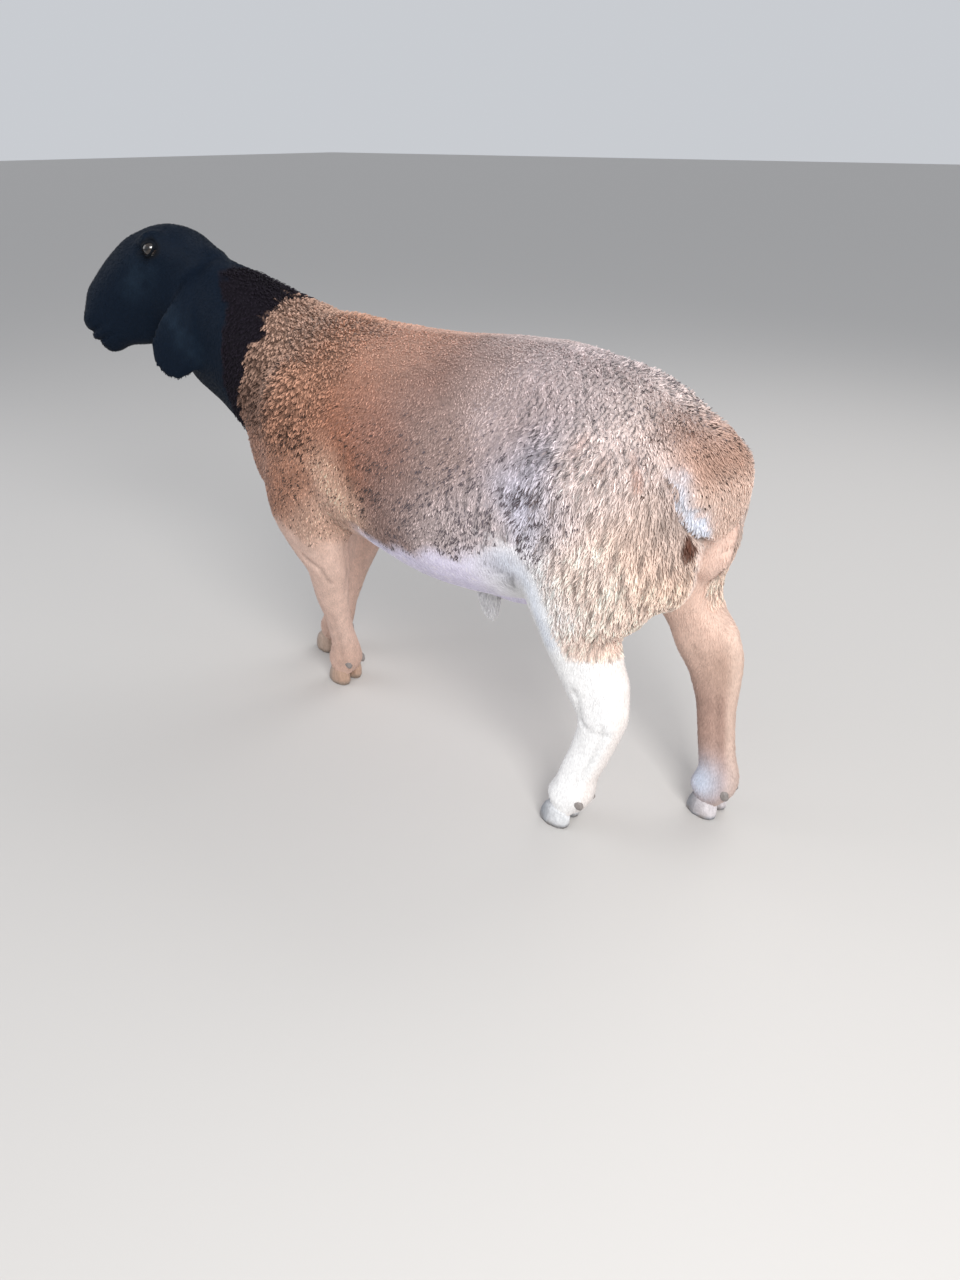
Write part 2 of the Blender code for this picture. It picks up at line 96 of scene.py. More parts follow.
# %% [markdown]
# ## Floor and light
# A museum piece stands on a plain pale floor. A soft lamp stands behind the viewer on the side of the
# hind legs, a weaker one fills the shade from the side of the head, a third lights the far side, and a
# pale sky lifts the rest.

# %% Floor and light
FLOOR_SIZE, FLOOR_DROP = 60, 0.0004  # the drop keeps the floor just clear of the soles
FLOOR_GREY = (0.54, 0.525, 0.51, 1)
SKY, SKY_STRENGTH = (0.86, 0.89, 0.94, 1), 0.68
LAMP_AIM = Vector((0, 0, 0.35))
# Of each lamp: its place, its size in metres, its power in watts and its colour.
LAMPS = {
    "key": ((1.5, 2.0, 1.9), 1.1, 72.0, (1.0, 0.985, 0.96)),
    "fill": ((1.3, -2.2, 1.6), 2.0, 18.0, (0.97, 0.98, 1.0)),
    "back": ((-1.9, 0.4, 2.3), 1.8, 24.0, (1.0, 0.98, 0.96)),
}


def mode(name):
    bpy.ops.object.mode_set(mode=name)


def deselect():
    if bpy.context.object and bpy.context.object.mode != "OBJECT":
        mode("OBJECT")
    bpy.ops.object.select_all(action="DESELECT")


def only(obj):
    deselect()
    obj.select_set(True)
    bpy.context.view_layer.objects.active = obj


def tune(node, **sockets):
    """Sets sockets of a node by name. An underscore stands for a space."""
    for name, value in sockets.items():
        node.inputs[name.replace("_", " ")].default_value = value


deselect()
bpy.ops.mesh.primitive_plane_add(size=FLOOR_SIZE, location=(0, 0, -FLOOR_DROP))
floor = bpy.context.object
floor.name = "floor"
pale_floor = bpy.data.materials.new("pale_floor")
pale_floor.use_nodes = True
tune(pale_floor.node_tree.nodes["Principled BSDF"], Base_Color=FLOOR_GREY, Roughness=0.85)
floor.data.materials.append(pale_floor)
floor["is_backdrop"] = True

world = bpy.data.worlds.new("studio")
world.use_nodes = True
tune(world.node_tree.nodes["Background"], Color=SKY, Strength=SKY_STRENGTH)
bpy.context.scene.world = world
bpy.context.scene.view_settings.view_transform = "Standard"
for name, (place, size, power, colour) in LAMPS.items():
    lamp_data = bpy.data.lights.new(name, "AREA")
    lamp_data.size = size
    lamp_data.energy = power
    lamp_data.color = colour
    lamp = bpy.data.objects.new(name, lamp_data)
    lamp.location = place
    lamp.rotation_euler = (LAMP_AIM - Vector(place)).to_track_quat("-Z", "Y").to_euler()
    add_to_scene(lamp)
print(len(LAMPS), "soft lamps")

# %% [markdown]
# ## One skin from many solids
# The animal's solids are parted by cuts of less than half a millimetre. A real skin has no such cuts,
# so copies of all the solids are swollen by a hair's breadth until they touch, joined, and remeshed as
# one body with small even squares. The eyes and hooves go in too: the skin then runs on under them, and
# no gap shows round them later.

# %% One skin from many solids
SWELL = 0.0004
SKIN_PITCH = 0.0041
WELD = 1e-5


def copy_of(node, name):
    copy = bpy.data.objects.new(name, NODES[node].data.copy())
    copy.data.materials.clear()
    add_to_scene(copy)
    only(copy)
    mode("EDIT")
    bpy.ops.mesh.select_all(action="SELECT")
    bpy.ops.mesh.remove_doubles(threshold=WELD)
    bpy.ops.mesh.normals_make_consistent(inside=False)
    mode("OBJECT")
    return copy


def apply(obj, kind, **settings):
    only(obj)
    modifier = obj.modifiers.new(kind.lower(), kind)
    for key, value in settings.items():
        setattr(modifier, key, value)
    bpy.ops.object.modifier_apply(modifier=modifier.name)


copies = [copy_of(name, "flesh_" + name) for name in sorted(NODES)]
deselect()
for copy in copies:
    copy.select_set(True)
bpy.context.view_layer.objects.active = copies[0]
bpy.ops.object.join()
skin = bpy.context.object
skin.name = skin.data.name = "skin"
apply(skin, "DISPLACE", strength=SWELL, mid_level=0.0)
apply(skin, "REMESH", mode="VOXEL", voxel_size=SKIN_PITCH, use_smooth_shade=True)
print("skin starts with", len(skin.data.polygons), "faces")

# %% [markdown]
# ## Reading and moving many points at once
# A sculptor's brush moves many points by one rule. Here numpy does that: the points are read into an
# array, moved, and written back. `step` is a soft switch from 0 to 1, `bell` is 1 at zero and fades to
# both sides, and `waves` is a smooth noise.


# %% Reading and moving many points at once
def read(items, name, width=3):
    """A vector of each item of a mesh, such as a point's place, as an array with one row each."""
    found = np.empty(len(items) * width, np.float32)
    items.foreach_get(name, found)
    return found.reshape(-1, width).astype(float)


def get_points(mesh):
    return read(mesh.vertices, "co")


def get_normals(mesh):
    return read(mesh.vertex_normals, "vector")


def set_points(mesh, points):
    mesh.vertices.foreach_set("co", points.astype(np.float32).ravel())
    mesh.update()


def step(value, start, end):
    t = np.clip((value - start) / (end - start), 0, 1)
    return t * t * (3 - 2 * t)


def bell(value, width, power=2):
    return np.exp(-((value / width) ** power))


def unit(vectors):
    return vectors / np.maximum(np.linalg.norm(vectors, axis=-1, keepdims=True), 1e-9)


def waves(points, size, seed=1, count=9):
    """Smooth noise of about -1 to 1 with features of this size: a sum of waves in many directions."""
    random = np.random.default_rng(seed)
    total = np.zeros(len(points))
    for _ in range(count):
        way = unit(random.normal(size=3)) * 2 * math.pi / (size * random.uniform(1.3, 2.8))
        total += np.sin(points @ way + random.uniform(0, 2 * math.pi))
    return total / math.sqrt(count)


def distance_to(at, path):
    """The distance from each point to a path of straight pieces."""
    best = np.full(len(at), 9.0)
    for a, b in zip(path, path[1:]):
        a, b = np.array(a), np.array(b)
        share = np.clip(((at - a) @ (b - a)) / ((b - a) @ (b - a)), 0, 1)
        best = np.minimum(best, np.linalg.norm(at - a - share[:, None] * (b - a), axis=1))
    return best


def groove(at, path, width):
    """1 on a path of points and less with the distance from it."""
    return bell(distance_to(at, path), width)


def spot(at, centre, reach):
    """1 at a place and less with the distance from it."""
    return bell(np.linalg.norm(at - np.array(centre), axis=1), reach)


def both_sides(at, axis=0):
    """The points folded over the middle, so that a mark for the left side falls on the right too."""
    folded = at.copy()
    folded[:, axis] = np.abs(at[:, axis])
    return folded


def neighbours(mesh):
    """A function that gives each point's mean over its neighbours."""
    pairs = np.empty(len(mesh.edges) * 2, np.int32)
    mesh.edges.foreach_get("vertices", pairs)
    a, b = pairs.reshape(-1, 2).T
    count = len(mesh.vertices)
    share = 1.0 / np.maximum(np.bincount(a, minlength=count) + np.bincount(b, minlength=count), 1)

    def mean(values):
        columns = values.reshape(count, -1).T
        sums = [np.bincount(a, c[b], count) + np.bincount(b, c[a], count) for c in columns]
        return (np.array(sums) * share).T.reshape(values.shape)

    return mean


def smoothed(values, mean_of, rounds, share=0.5):
    """The values after some rounds in which each goes a share of the way to its neighbours' mean."""
    for _ in range(rounds):
        values = values + (mean_of(values) - values) * share
    return values


# %% [markdown]
# ## Which part of the body is this?
# The skin is one mesh, but the nodes of the frame still tell an ear from a cheek. The nearest face of
# any node to a point gives the name of its part.

# %% Which part of the body is this?
node_names = sorted(NODES)
corners, faces, face_node = [], [], []
for index, name in enumerate(node_names):
    mesh = NODES[name].data
    offset = len(corners)
    corners += [tuple(v.co) for v in mesh.vertices]
    faces += [tuple(offset + i for i in p.vertices) for p in mesh.polygons]
    face_node += [index] * len(mesh.polygons)
body_tree = BVHTree.FromPolygons(corners, faces)
face_node = np.array(face_node)


def parts_at(points):
    """The index in node_names of the part that each point belongs to."""
    return np.array([face_node[body_tree.find_nearest(p)[2]] for p in points.tolist()])


def is_part(parts, *words):
    """True where the part's name holds one of these words."""
    wanted = [any(w in name for w in words) for name in node_names]
    return np.array(wanted)[parts]


# %% [markdown]
# ## Rounding the skin
# The solids are made of large flats. Smoothing rounds them off, but it also makes thin legs thinner, so
# the lost depth is measured, spread out, and given back along the normals.

# %% Rounding the skin
SOFTNESS, HOOF_SOFTNESS, EAR_SOFTNESS = 0.5, 0.3, 0.16


def rounded_off(mesh, softness, rounds, spread):
    """A mesh's points rounded off but no thinner, its normals before, and the depth given back."""
    at, out, mean_of = get_points(mesh), get_normals(mesh), neighbours(mesh)
    soft = smoothed(at, mean_of, rounds, softness)
    lost = smoothed(((at - soft) * out).sum(1), mean_of, spread)
    return soft + out * lost[:, None], out, lost


parts = parts_at(get_points(skin.data))
softness = np.where(is_part(parts, "claw"), HOOF_SOFTNESS, SOFTNESS)
softness = np.where(is_part(parts, "ear_"), EAR_SOFTNESS, softness)[:, None]
rounded, _, lost = rounded_off(skin.data, softness, 16, 24)
set_points(skin.data, rounded)
print("rounding gave back", round(float(np.abs(lost).max()) * 1000, 1), "mm at most")

# %% [markdown]
# ## The head's own axes
# The head looks to the left and down. Its axes follow from that turn and from the two eyes of the
# frame: `ahead` runs down the face, `left` goes through the eyes, and `crown` is square to both.

# %% The head's own axes
HEAD_TURN = math.radians(37.0)
HEAD_DROP = math.radians(30.0)
EYE_RADIUS = 0.0135
EYE_AHEAD = 0.053  # how far the eyes lie down the face from the poll
EYE_CROWN = 0.019  # how far they lie above the line from poll to nose

eye_centres = {side: np.array(sum(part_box("eye_" + side), Vector()) / 2) for side in ("left", "right")}
level = np.array((math.sin(HEAD_TURN), -math.cos(HEAD_TURN), 0))
ahead = level * math.cos(HEAD_DROP) - np.array((0, 0, math.sin(HEAD_DROP)))
left = np.cross((0, 0, 1), level)
crown = np.cross(ahead, left)
poll = (eye_centres["left"] + eye_centres["right"]) / 2 - ahead * EYE_AHEAD - crown * EYE_CROWN


def on_head(points):
    """Points in the head's axes: down the face from the poll, to its left, towards the crown."""
    return (points - poll) @ np.array((ahead, left, crown)).T


print("poll at", poll.round(3))

# %% [markdown]
# ## Fine squares where the detail is
# Under the wool the skin may be coarse, because it hardly shows, so it is thinned there. Round the
# eyes, the nostrils and the mouth it needs squares of less than a millimetre for lids and lips.

# %% Fine squares where the detail is
WOOL_FROM = (0.14, 0.32)  # wool hides the skin this far behind the poll and above this height
THINNED_SHARE = 0.92  # of the faces under wool, this share goes

points = get_points(skin.data)
under_wool = (points[:, 2] > WOOL_FROM[1]) & (points[:, 1] > poll[1] + WOOL_FROM[0])
group = skin.vertex_groups.new(name="under_wool")
group.add(np.flatnonzero(under_wool).tolist(), 1.0, "REPLACE")
thinner = 1 - THINNED_SHARE * float(under_wool.mean())
apply(skin, "DECIMATE", ratio=thinner, vertex_group="under_wool")


def refine(obj, near):
    """Cuts the faces whose middle is near into smaller ones."""
    mesh = obj.data
    wanted = near(read(mesh.polygons, "center"))
    only(obj)
    mode("EDIT")
    bpy.ops.mesh.select_all(action="DESELECT")
    mode("OBJECT")
    mesh.polygons.foreach_set("select", wanted)
    mode("EDIT")
    bpy.ops.mesh.subdivide(number_cuts=1)
    mode("OBJECT")


def by_the_eyes(reach):
    def near(at):
        gaps = [np.linalg.norm(at - c, axis=1) for c in eye_centres.values()]
        return np.minimum(*gaps) < reach

    return near


def by_the_muzzle(start):
    return lambda at: (on_head(at)[:, 0] > start) & (np.linalg.norm(at - poll, axis=1) < 0.3)


def by_the_tail(at):
    return (at[:, 1] > 0.47) & (np.abs(at[:, 0]) < 0.105) & (at[:, 2] > 0.38) & (at[:, 2] < 0.57)


muzzle_and_eyes = (by_the_muzzle(0.145), by_the_muzzle(0.195), by_the_eyes(0.034), by_the_eyes(0.026))
for near in (by_the_tail, by_the_tail, *muzzle_and_eyes):
    refine(skin, near)
print("skin now has", len(skin.data.polygons), "faces")

# %% [markdown]
# ## Where the coat changes
# The coat has three borders. The dark neck wool ends on a slope, ragged as torn paper. In front of it
# the wool gives way to the head's flat black hair. And below a line that rises and falls along the
# body the wool ends, and the legs and belly wear flat white hair. Each border is a height or a place
# along the body, with a little noise added, so that skin and coat can ask the same functions. The last
# of them knows the edge of the tail's flap. The numbers in a `step` are such places and heights.

# %% Where the coat changes
# Along the body, the height at which its wool ends there, and over how much height it thins out.
WOOL_LINE = np.array((
    (-0.35, 0.4, 0.02), (-0.24, 0.371, 0.026), (-0.18, 0.353, 0.026), (-0.12, 0.33, 0.022),
    (-0.08, 0.324, 0.022), (-0.047, 0.34, 0.02), (0.00, 0.382, 0.014), (0.07, 0.376, 0.012),
    (0.14, 0.378, 0.014), (0.18, 0.4, 0.016), (0.22, 0.402, 0.016), (0.26, 0.42, 0.014),
    (0.29, 0.436, 0.012), (0.312, 0.428, 0.01), (0.33, 0.408, 0.008), (0.35, 0.392, 0.008),
    (0.366, 0.362, 0.008), (0.374, 0.32, 0.008), (0.387, 0.297, 0.008), (0.42, 0.29, 0.008),
    (0.445, 0.294, 0.008), (0.47, 0.32, 0.01), (0.498, 0.352, 0.01), (0.55, 0.372, 0.01),
))  # fmt: skip
# At these heights, how far back the dark neck band ends, and the black hair of the head.
BAND_END = (
    (0.44, 0.493, 0.537, 0.578, 0.6, 0.626, 0.655, 0.675),
    (-0.29, -0.268, -0.253, -0.238, -0.224, -0.213, -0.221, -0.228),
)
HEAD_END = ((0.5, 0.56, 0.61, 0.66, 0.7, 0.72), (-0.298, -0.294, -0.287, -0.292, -0.325, -0.335))
FAR_LEG_BACK = 0.035  # the right hind leg stands this much further back


def behind_band(at):
    """How far a point lies behind the dark neck band, in metres."""
    behind = at[:, 1] - np.interp(at[:, 2], *BAND_END)
    return behind - 0.006 * waves(at, 0.03, 3) - 0.004 * waves(at, 0.009, 4)


def behind_head(at):
    """How far a point lies behind the change from black hair to dark wool."""
    return at[:, 1] - np.interp(at[:, 2], *HEAD_END) - 0.004 * waves(at, 0.014, 5)


def black_share(at, parts):
    """1 on the head and the ears, where the hair is black."""
    return np.maximum(step(-behind_head(at), -0.004, 0.004), is_part(parts, "ear_"))


def above_wool_line(at):
    """How high a point lies above the wool's end, and over how much height the wool thins out."""
    shift = np.where(at[:, 0] < 0, FAR_LEG_BACK, 0) * step(at[:, 1], 0.15, 0.3)
    line, blend = (np.interp(at[:, 1] - shift, WOOL_LINE[:, 0], column) for column in WOOL_LINE.T[1:])
    return at[:, 2] - line - (0.0025 + 0.2 * blend) * waves(at, 0.022, 6), blend


def bare_share(at, normals, parts):
    """1 where the coat is flat hair, 0 where it is wool."""
    above, blend = above_wool_line(at)
    low = step(-above, -blend, blend)
    inward = step(-np.sign(at[:, 0]) * normals[:, 0], 0.15, 0.45) * step(at[:, 2], 0.44, 0.4)
    cleft = step(0.07 - np.abs(at[:, 0]), 0.0, 0.02) * step(at[:, 1], 0.455, 0.475)
    cleft *= step(at[:, 2], 0.458, 0.44)
    return np.maximum.reduce([low, inward, cleft, black_share(at, parts)])


TAIL_FROM = 0.44  # there is no tail in front of this
# The edge of the tail's flap: at each height half its width, and how far back it lies.
FLAP_EDGE = np.array((
    (0.443, 0.000, 0.519), (0.447, 0.025, 0.516), (0.462, 0.055, 0.517), (0.475, 0.07, 0.511),
    (0.49, 0.08, 0.504), (0.507, 0.085, 0.5), (0.525, 0.086, 0.499), (0.56, 0.088, 0.487),
))  # fmt: skip


def inside_flap(at):
    """How far a point lies inside the edge of the tail's flap, less than 0 outside it."""
    gap = distance_to(both_sides(at), [(x, y, z) for z, x, y in FLAP_EDGE])
    half = np.interp(at[:, 2], FLAP_EDGE[:, 0], FLAP_EDGE[:, 1])
    within = (np.abs(at[:, 0]) < half) & (at[:, 2] > FLAP_EDGE[0, 0])
    return np.where(at[:, 1] > TAIL_FROM, np.where(within, gap, -gap), -1.0)


# %% [markdown]
# ## The skin lies under the coat
# The solids reach out to the tips of the wool. The skin sinks below that by the depth of the coat: up
# to seven millimetres under wool, and little more than one under hair. Then the forms that only skin
# shows are made: the tail flap's edge, the creases behind the elbow and in the groin, the grooves
# beside the legs' tendons, and the fold of the nape.

# %% The skin lies under the coat
WOOL_DEPTH = 0.0072
BAND_DEPTH = 0.0045
HAIR_DEPTH = 0.0013
HOOF_DEPTH = 0.0028


def fullness(at, parts):
    """How long the wool is at a point, as a share of the longest."""
    along, high = at[:, 1], at[:, 2]
    full = np.full(len(at), 0.26)
    full += 0.74 * step(-along, -0.02, 0.13) * step(high, 0.47, 0.55)
    full += 0.4 * step(along, 0.2, 0.32) * step(high, 0.52, 0.6)
    full += 0.5 * step(along, 0.27, 0.36) * step(high, 0.6, 0.52)
    full -= 0.14 * step(-along, -0.06, 0.0) * step(high, 0.47, 0.42)
    above, blend = above_wool_line(at)
    full *= 0.35 + 0.65 * step(above, 0.0, 0.045)
    return np.where(is_part(parts, "tail"), 0.22, np.clip(full, 0.1, 1.0))


def coat_depth(at, normals, parts):
    bare = bare_share(at, normals, parts)
    wool = HAIR_DEPTH + (WOOL_DEPTH - HAIR_DEPTH) * fullness(at, parts)
    wool = BAND_DEPTH + (wool - BAND_DEPTH) * step(behind_band(at), -0.01, 0.01)
    return np.where(is_part(parts, "claw"), HOOF_DEPTH, wool * (1 - bare) + HAIR_DEPTH * bare)


# Of each fold: its path, its width and its depth. These are pressed in on both sides of the body.
FOLDS = {
    "elbow": (
        [(0.16, 0.03, 0.47), (0.158, 0.03, 0.433), (0.15, 0.022, 0.399), (0.128, 0.000, 0.365),
         (0.105, -0.02, 0.335)], 0.008, 0.0045),
    "elbow_back": (
        [(0.105, -0.015, 0.347), (0.126, 0.02, 0.362), (0.141, 0.05, 0.371), (0.142, 0.075, 0.366)],
        0.006, 0.004),
    "groin": ([(0.16, 0.27, 0.4), (0.148, 0.3, 0.385), (0.125, 0.29, 0.35)], 0.008, 0.0035),
    "under_tail": ([(0.079, 0.517, 0.436), (0.06, 0.52, 0.415), (0.03, 0.515, 0.402)], 0.0045, 0.0028),
    "under_tail_right": (
        [(0.000, 0.52, 0.432), (-0.036, 0.515, 0.415), (-0.05, 0.5, 0.37)], 0.005, 0.0028),
}  # fmt: skip
# These are pressed in only where they say.
LEG_FOLDS = {
    "hock_front": ([(0.133, 0.398, 0.236), (0.133, 0.403, 0.222), (0.124, 0.403, 0.188)], 0.0055, 0.0026),
    "hock_low": ([(0.124, 0.408, 0.186), (0.128, 0.427, 0.179), (0.124, 0.447, 0.18)], 0.005, 0.0018),
    "hock_front_right": (
        [(-0.045, 0.48, 0.255), (-0.04, 0.492, 0.225), (-0.038, 0.5, 0.195)], 0.0055, 0.0024),
    "knee": ([(0.118, -0.125, 0.29), (0.11, -0.097, 0.273), (0.097, -0.091, 0.245)], 0.006, 0.0024),
    "elbow_point": (
        [(0.088, -0.056, 0.33), (0.074, -0.07, 0.284), (0.062, -0.09, 0.215)], 0.005, 0.0024),
}  # fmt: skip
TENDON = (0.0055, 0.002)  # width and depth
TENDON_BACK = 0.7  # how far back on a shank its tendon line lies, as a share
# Of the nape's fold and of the dip behind the crown: path, width, and how far they stand out.
HEAD_FOLDS = (
    ([(-0.03, -0.358, 0.708), (0.018, -0.36, 0.714), (0.058, -0.346, 0.7)], 0.017, 0.006),
    ([(-0.02, -0.386, 0.734), (0.02, -0.388, 0.741), (0.045, -0.385, 0.735)], 0.02, -0.005),
)
EDGE_RISE = 0.0045  # how far the flap's edge stands out, and how deep the groove round it is

points = get_points(skin.data)
normals = get_normals(skin.data)
parts = parts_at(points)
depth = smoothed(coat_depth(points, normals, parts), neighbours(skin.data), 6)
points -= normals * depth[:, None]
flap = inside_flap(points)
edge = EDGE_RISE * step(flap, -0.001, 0.007) - EDGE_RISE * bell(flap + 0.004, 0.0035)
points += normals * (edge * step(points[:, 2], 0.565, 0.505))[:, None]


def pressed_in(path, width, deep):
    return points - normals * (deep * groove(points, path, width))[:, None]


def tendon_line(node, side):
    """A path down one side of a shank, where the tendon behind it parts from the bone."""
    mine = points[is_part(parts, node)]
    low_end, high_end = mine[:, 2].min(), mine[:, 2].max()
    path = []
    for share in np.linspace(0.3, 0.85, 6):
        slab = mine[np.abs(mine[:, 2] - (low_end + share * (high_end - low_end))) < 0.006]
        front, back = slab[:, 1].min(), slab[:, 1].max()
        surface = slab[:, 0].max() if side > 0 else slab[:, 0].min()
        path.append((surface, front + TENDON_BACK * (back - front), slab[:, 2].mean()))
    return path


for node in ("hind_left_shank", "hind_right_shank", "fore_left_shin", "fore_right_shin"):
    for side in (1, -1):
        LEG_FOLDS[node + str(side)] = (tendon_line(node, side), *TENDON)
for fold in LEG_FOLDS.values():
    points = pressed_in(*fold)
nape, dip = (out * groove(points, path, width) for path, width, out in HEAD_FOLDS)
points += normals * (nape + dip)[:, None]
for path, width, deep in FOLDS.values():
    for flip in (1, -1):
        points = pressed_in([(x * flip, y, z) for x, y, z in path], width, deep)
set_points(skin.data, points)
print("skin lies", round(float(depth.max()) * 1000, 1), "mm deep at most")

# %% [markdown]
# ## Lids, nostrils and mouth
# The skin still runs over the eyeballs as one sheet. An almond-shaped part of it is pushed in behind
# the ball's surface, and the rim that stays becomes the two lids. The nostrils are comma-shaped slits,
# and the mouth and the split of the upper lip are fine grooves. The muzzle's profile and the angle of
# the jaw get their last form here too.

# %% Lids, nostrils and mouth
LID_THICKNESS = 0.0012
LID_CREASE = 0.001
LOWER_LID = 0.86  # the opening's height below the middle, as a share of that above it
EYE_OPENING = (0.86, 0.52)  # half length and half height, as shares of the ball's radius
FISSURE_TILT = math.radians(12.0)


def eye_axes(side):
    """Out of the eye, along its opening towards the nose, and towards the upper lid."""
    sign = 1 if side == "left" else -1
    out = unit(sign * left * 0.93 + ahead * 0.3 + crown * 0.14)
    along = unit(ahead - out * (ahead @ out))
    upper = np.cross(along, out) * -sign
    upper *= np.sign(upper @ crown)
    turned = along * math.cos(FISSURE_TILT) - upper * math.sin(FISSURE_TILT)
    return out, turned, unit(upper - turned * (upper @ turned))


points = get_points(skin.data)
for side, centre in eye_centres.items():
    out, along, upper = eye_axes(side)
    offset = points - centre
    reach = np.linalg.norm(offset, axis=1)
    way = offset / reach[:, None]
    a, b = way @ along, way @ upper
    height = np.where(b > 0, EYE_OPENING[1], EYE_OPENING[1] * LOWER_LID)
    almond = np.abs(a / EYE_OPENING[0]) ** 1.7 + (b / height) ** 2
    facing = (way @ out > 0.1) & (reach < 0.03)
    shell = EYE_RADIUS + LID_THICKNESS + 0.0006 * bell(almond - 1.25, 0.25)
    lid = np.where(facing, step(almond, 3.6, 1.6), 0)
    new_reach = reach * (1 - lid) + shell * lid
    inner = np.where(facing, step(almond, 1.0, 0.84), 0)
    new_reach = new_reach * (1 - inner) + (EYE_RADIUS - 0.004) * inner
    new_reach -= LID_CREASE * np.where(facing & (b > 0), bell(almond - 2.3, 0.35), 0)
    points = centre + way * new_reach[:, None]
set_points(skin.data, points)

# Along the middle of the muzzle: how high, over what height, and how far out or in.
MUZZLE_PROFILE = (
    (-0.014, 0.008, 0.0022), (-0.031, 0.0045, -0.005), (-0.048, 0.0034, -0.0034), (-0.06, 0.008, 0.0014),
)  # fmt: skip
JAW_DROP = 0.009
MUZZLE_FROM, HEAD_REACH, CHEEK_REACH = 0.15, 0.3, 0.23  # measured from the poll
# In the head's axes. Each is pressed in by its first depth and has a rim that rises by its second.
NOSTRIL = [(0.237, 0.006, -0.027), (0.232, 0.0115, -0.018), (0.223, 0.016, -0.011), (0.213, 0.0185, -0.0085)]
NOSTRIL_DEPTH, NOSTRIL_RIM = 0.006, 0.0014
MOUTH = [
    (0.232, 0.0, -0.048), (0.229, 0.016, -0.05), (0.215, 0.029, -0.052), (0.19, 0.034, -0.054),
    (0.172, 0.037, -0.058),
]  # fmt: skip
MOUTH_DEPTH, MOUTH_RIM = 0.003, 0.0006
LIP_SPLIT = 0.0014  # its depth and its width

normals = get_normals(skin.data)
on = on_head(points)
down, across, high = on.T
folded = both_sides(on, 1)
from_poll = np.linalg.norm(on, axis=1)
slit = groove(folded, NOSTRIL, 0.0024)
press = NOSTRIL_DEPTH * slit - NOSTRIL_RIM * (groove(folded, NOSTRIL, 0.0062) - slit)
press += MOUTH_DEPTH * groove(folded, MOUTH, 0.0024) - MOUTH_RIM * groove(folded, MOUTH, 0.007)
split = LIP_SPLIT * bell(across, LIP_SPLIT) * step(down, 0.222, 0.232)
press += split * step(high, -0.052, -0.046) * step(high, -0.022, -0.03)
middle = bell(across, 0.034, 4) * step(down, 0.185, 0.215)
for middle_at, reach, out in MUZZLE_PROFILE:
    press -= out * middle * bell(high - middle_at, reach)
points -= normals * (press * ((down > MUZZLE_FROM) & (from_poll < HEAD_REACH)))[:, None]
cheek = bell(down - 0.158, 0.024) * step(-high, 0.055, 0.082) * step(np.abs(across), 0.055, 0.035)
cheek *= from_poll < CHEEK_REACH
points -= crown * (JAW_DROP * cheek)[:, None]
set_points(skin.data, points)
print("lids and lips shaped")

# %% [markdown]
# ## Colours of the coat
# Each zone of the coat has a place along the side of the body, a reach and a colour, and between zones
# the colours melt into each other. The shoulder is tan, the flank is greyer, and the thighs are cream.
# The zones at the front, the throat, the brisket and the shoulder, are darker partly as painted shade.
# Colours are linear values of red, green and blue.

# %% Colours of the coat
BLACK_HAIR = (0.0019, 0.0068, 0.0165)
DARK_WOOL = (0.014, 0.0107, 0.0172)
# along, height, reach, colour
WOOL_ZONES = {
    "nape": (-0.2, 0.64, 0.06, (0.52, 0.33, 0.25)),
    "throat": (-0.22, 0.545, 0.05, (0.19, 0.11, 0.082)),
    "withers": (-0.05, 0.62, 0.06, (0.58, 0.315, 0.215)),
    "chine": (0.04, 0.64, 0.07, (0.6, 0.36, 0.275)),
    "blade": (0.01, 0.56, 0.05, (0.43, 0.178, 0.106)),
    "girth": (0.045, 0.49, 0.045, (0.42, 0.178, 0.105)),
    "point": (-0.1, 0.5, 0.05, (0.5, 0.26, 0.175)),
    "brisket": (-0.24, 0.43, 0.05, (0.44, 0.24, 0.172)),
    "arm": (-0.015, 0.44, 0.042, (0.98, 0.64, 0.48)),
    "brown_arm": (-0.125, 0.405, 0.03, (0.48, 0.24, 0.158)),
    "elbow": (-0.08, 0.35, 0.04, (0.74, 0.48, 0.37)),
    "behind_shoulder": (0.1, 0.55, 0.055, (0.39, 0.2, 0.15)),
    "ribs": (0.2, 0.57, 0.08, (0.4, 0.285, 0.255)),
    "barrel": (0.12, 0.45, 0.06, (0.37, 0.245, 0.215)),
    "low_ribs": (0.22, 0.43, 0.06, (0.66, 0.56, 0.56)),
    "flank": (0.33, 0.49, 0.055, (0.63, 0.615, 0.72)),
    "loin": (0.3, 0.65, 0.08, (0.7, 0.6, 0.6)),
    "haunch": (0.42, 0.57, 0.07, (0.88, 0.74, 0.7)),
    "croup": (0.38, 0.632, 0.045, (0.4, 0.335, 0.335)),
    "croup_back": (0.455, 0.608, 0.028, (0.44, 0.32, 0.28)),
    "low_loin": (0.295, 0.6, 0.035, (0.66, 0.545, 0.555)),
    "rump": (0.52, 0.62, 0.06, (0.46, 0.275, 0.205)),
    "dock": (0.525, 0.545, 0.035, (0.5, 0.3, 0.22)),
    "stifle": (0.385, 0.39, 0.06, (0.97, 0.94, 0.95)),
    "thigh": (0.45, 0.42, 0.06, (0.98, 0.72, 0.575)),
    "hock_fringe": (0.43, 0.32, 0.04, (0.95, 0.7, 0.58)),
    "buttock": (0.49, 0.475, 0.045, (0.41, 0.335, 0.315)),
}
# The far hind leg is darker than the near one, partly its own colour and partly painted shade.
HAIR_COLOURS = {
    "hind_left": (0.9, 0.895, 0.895),
    "hind_right": (0.7, 0.5, 0.415),
    "fore": (0.7, 0.5, 0.42),
}
BELLY_HAIR, SHEATH_HAIR = (0.83, 0.785, 0.94), (0.93, 0.92, 0.94)
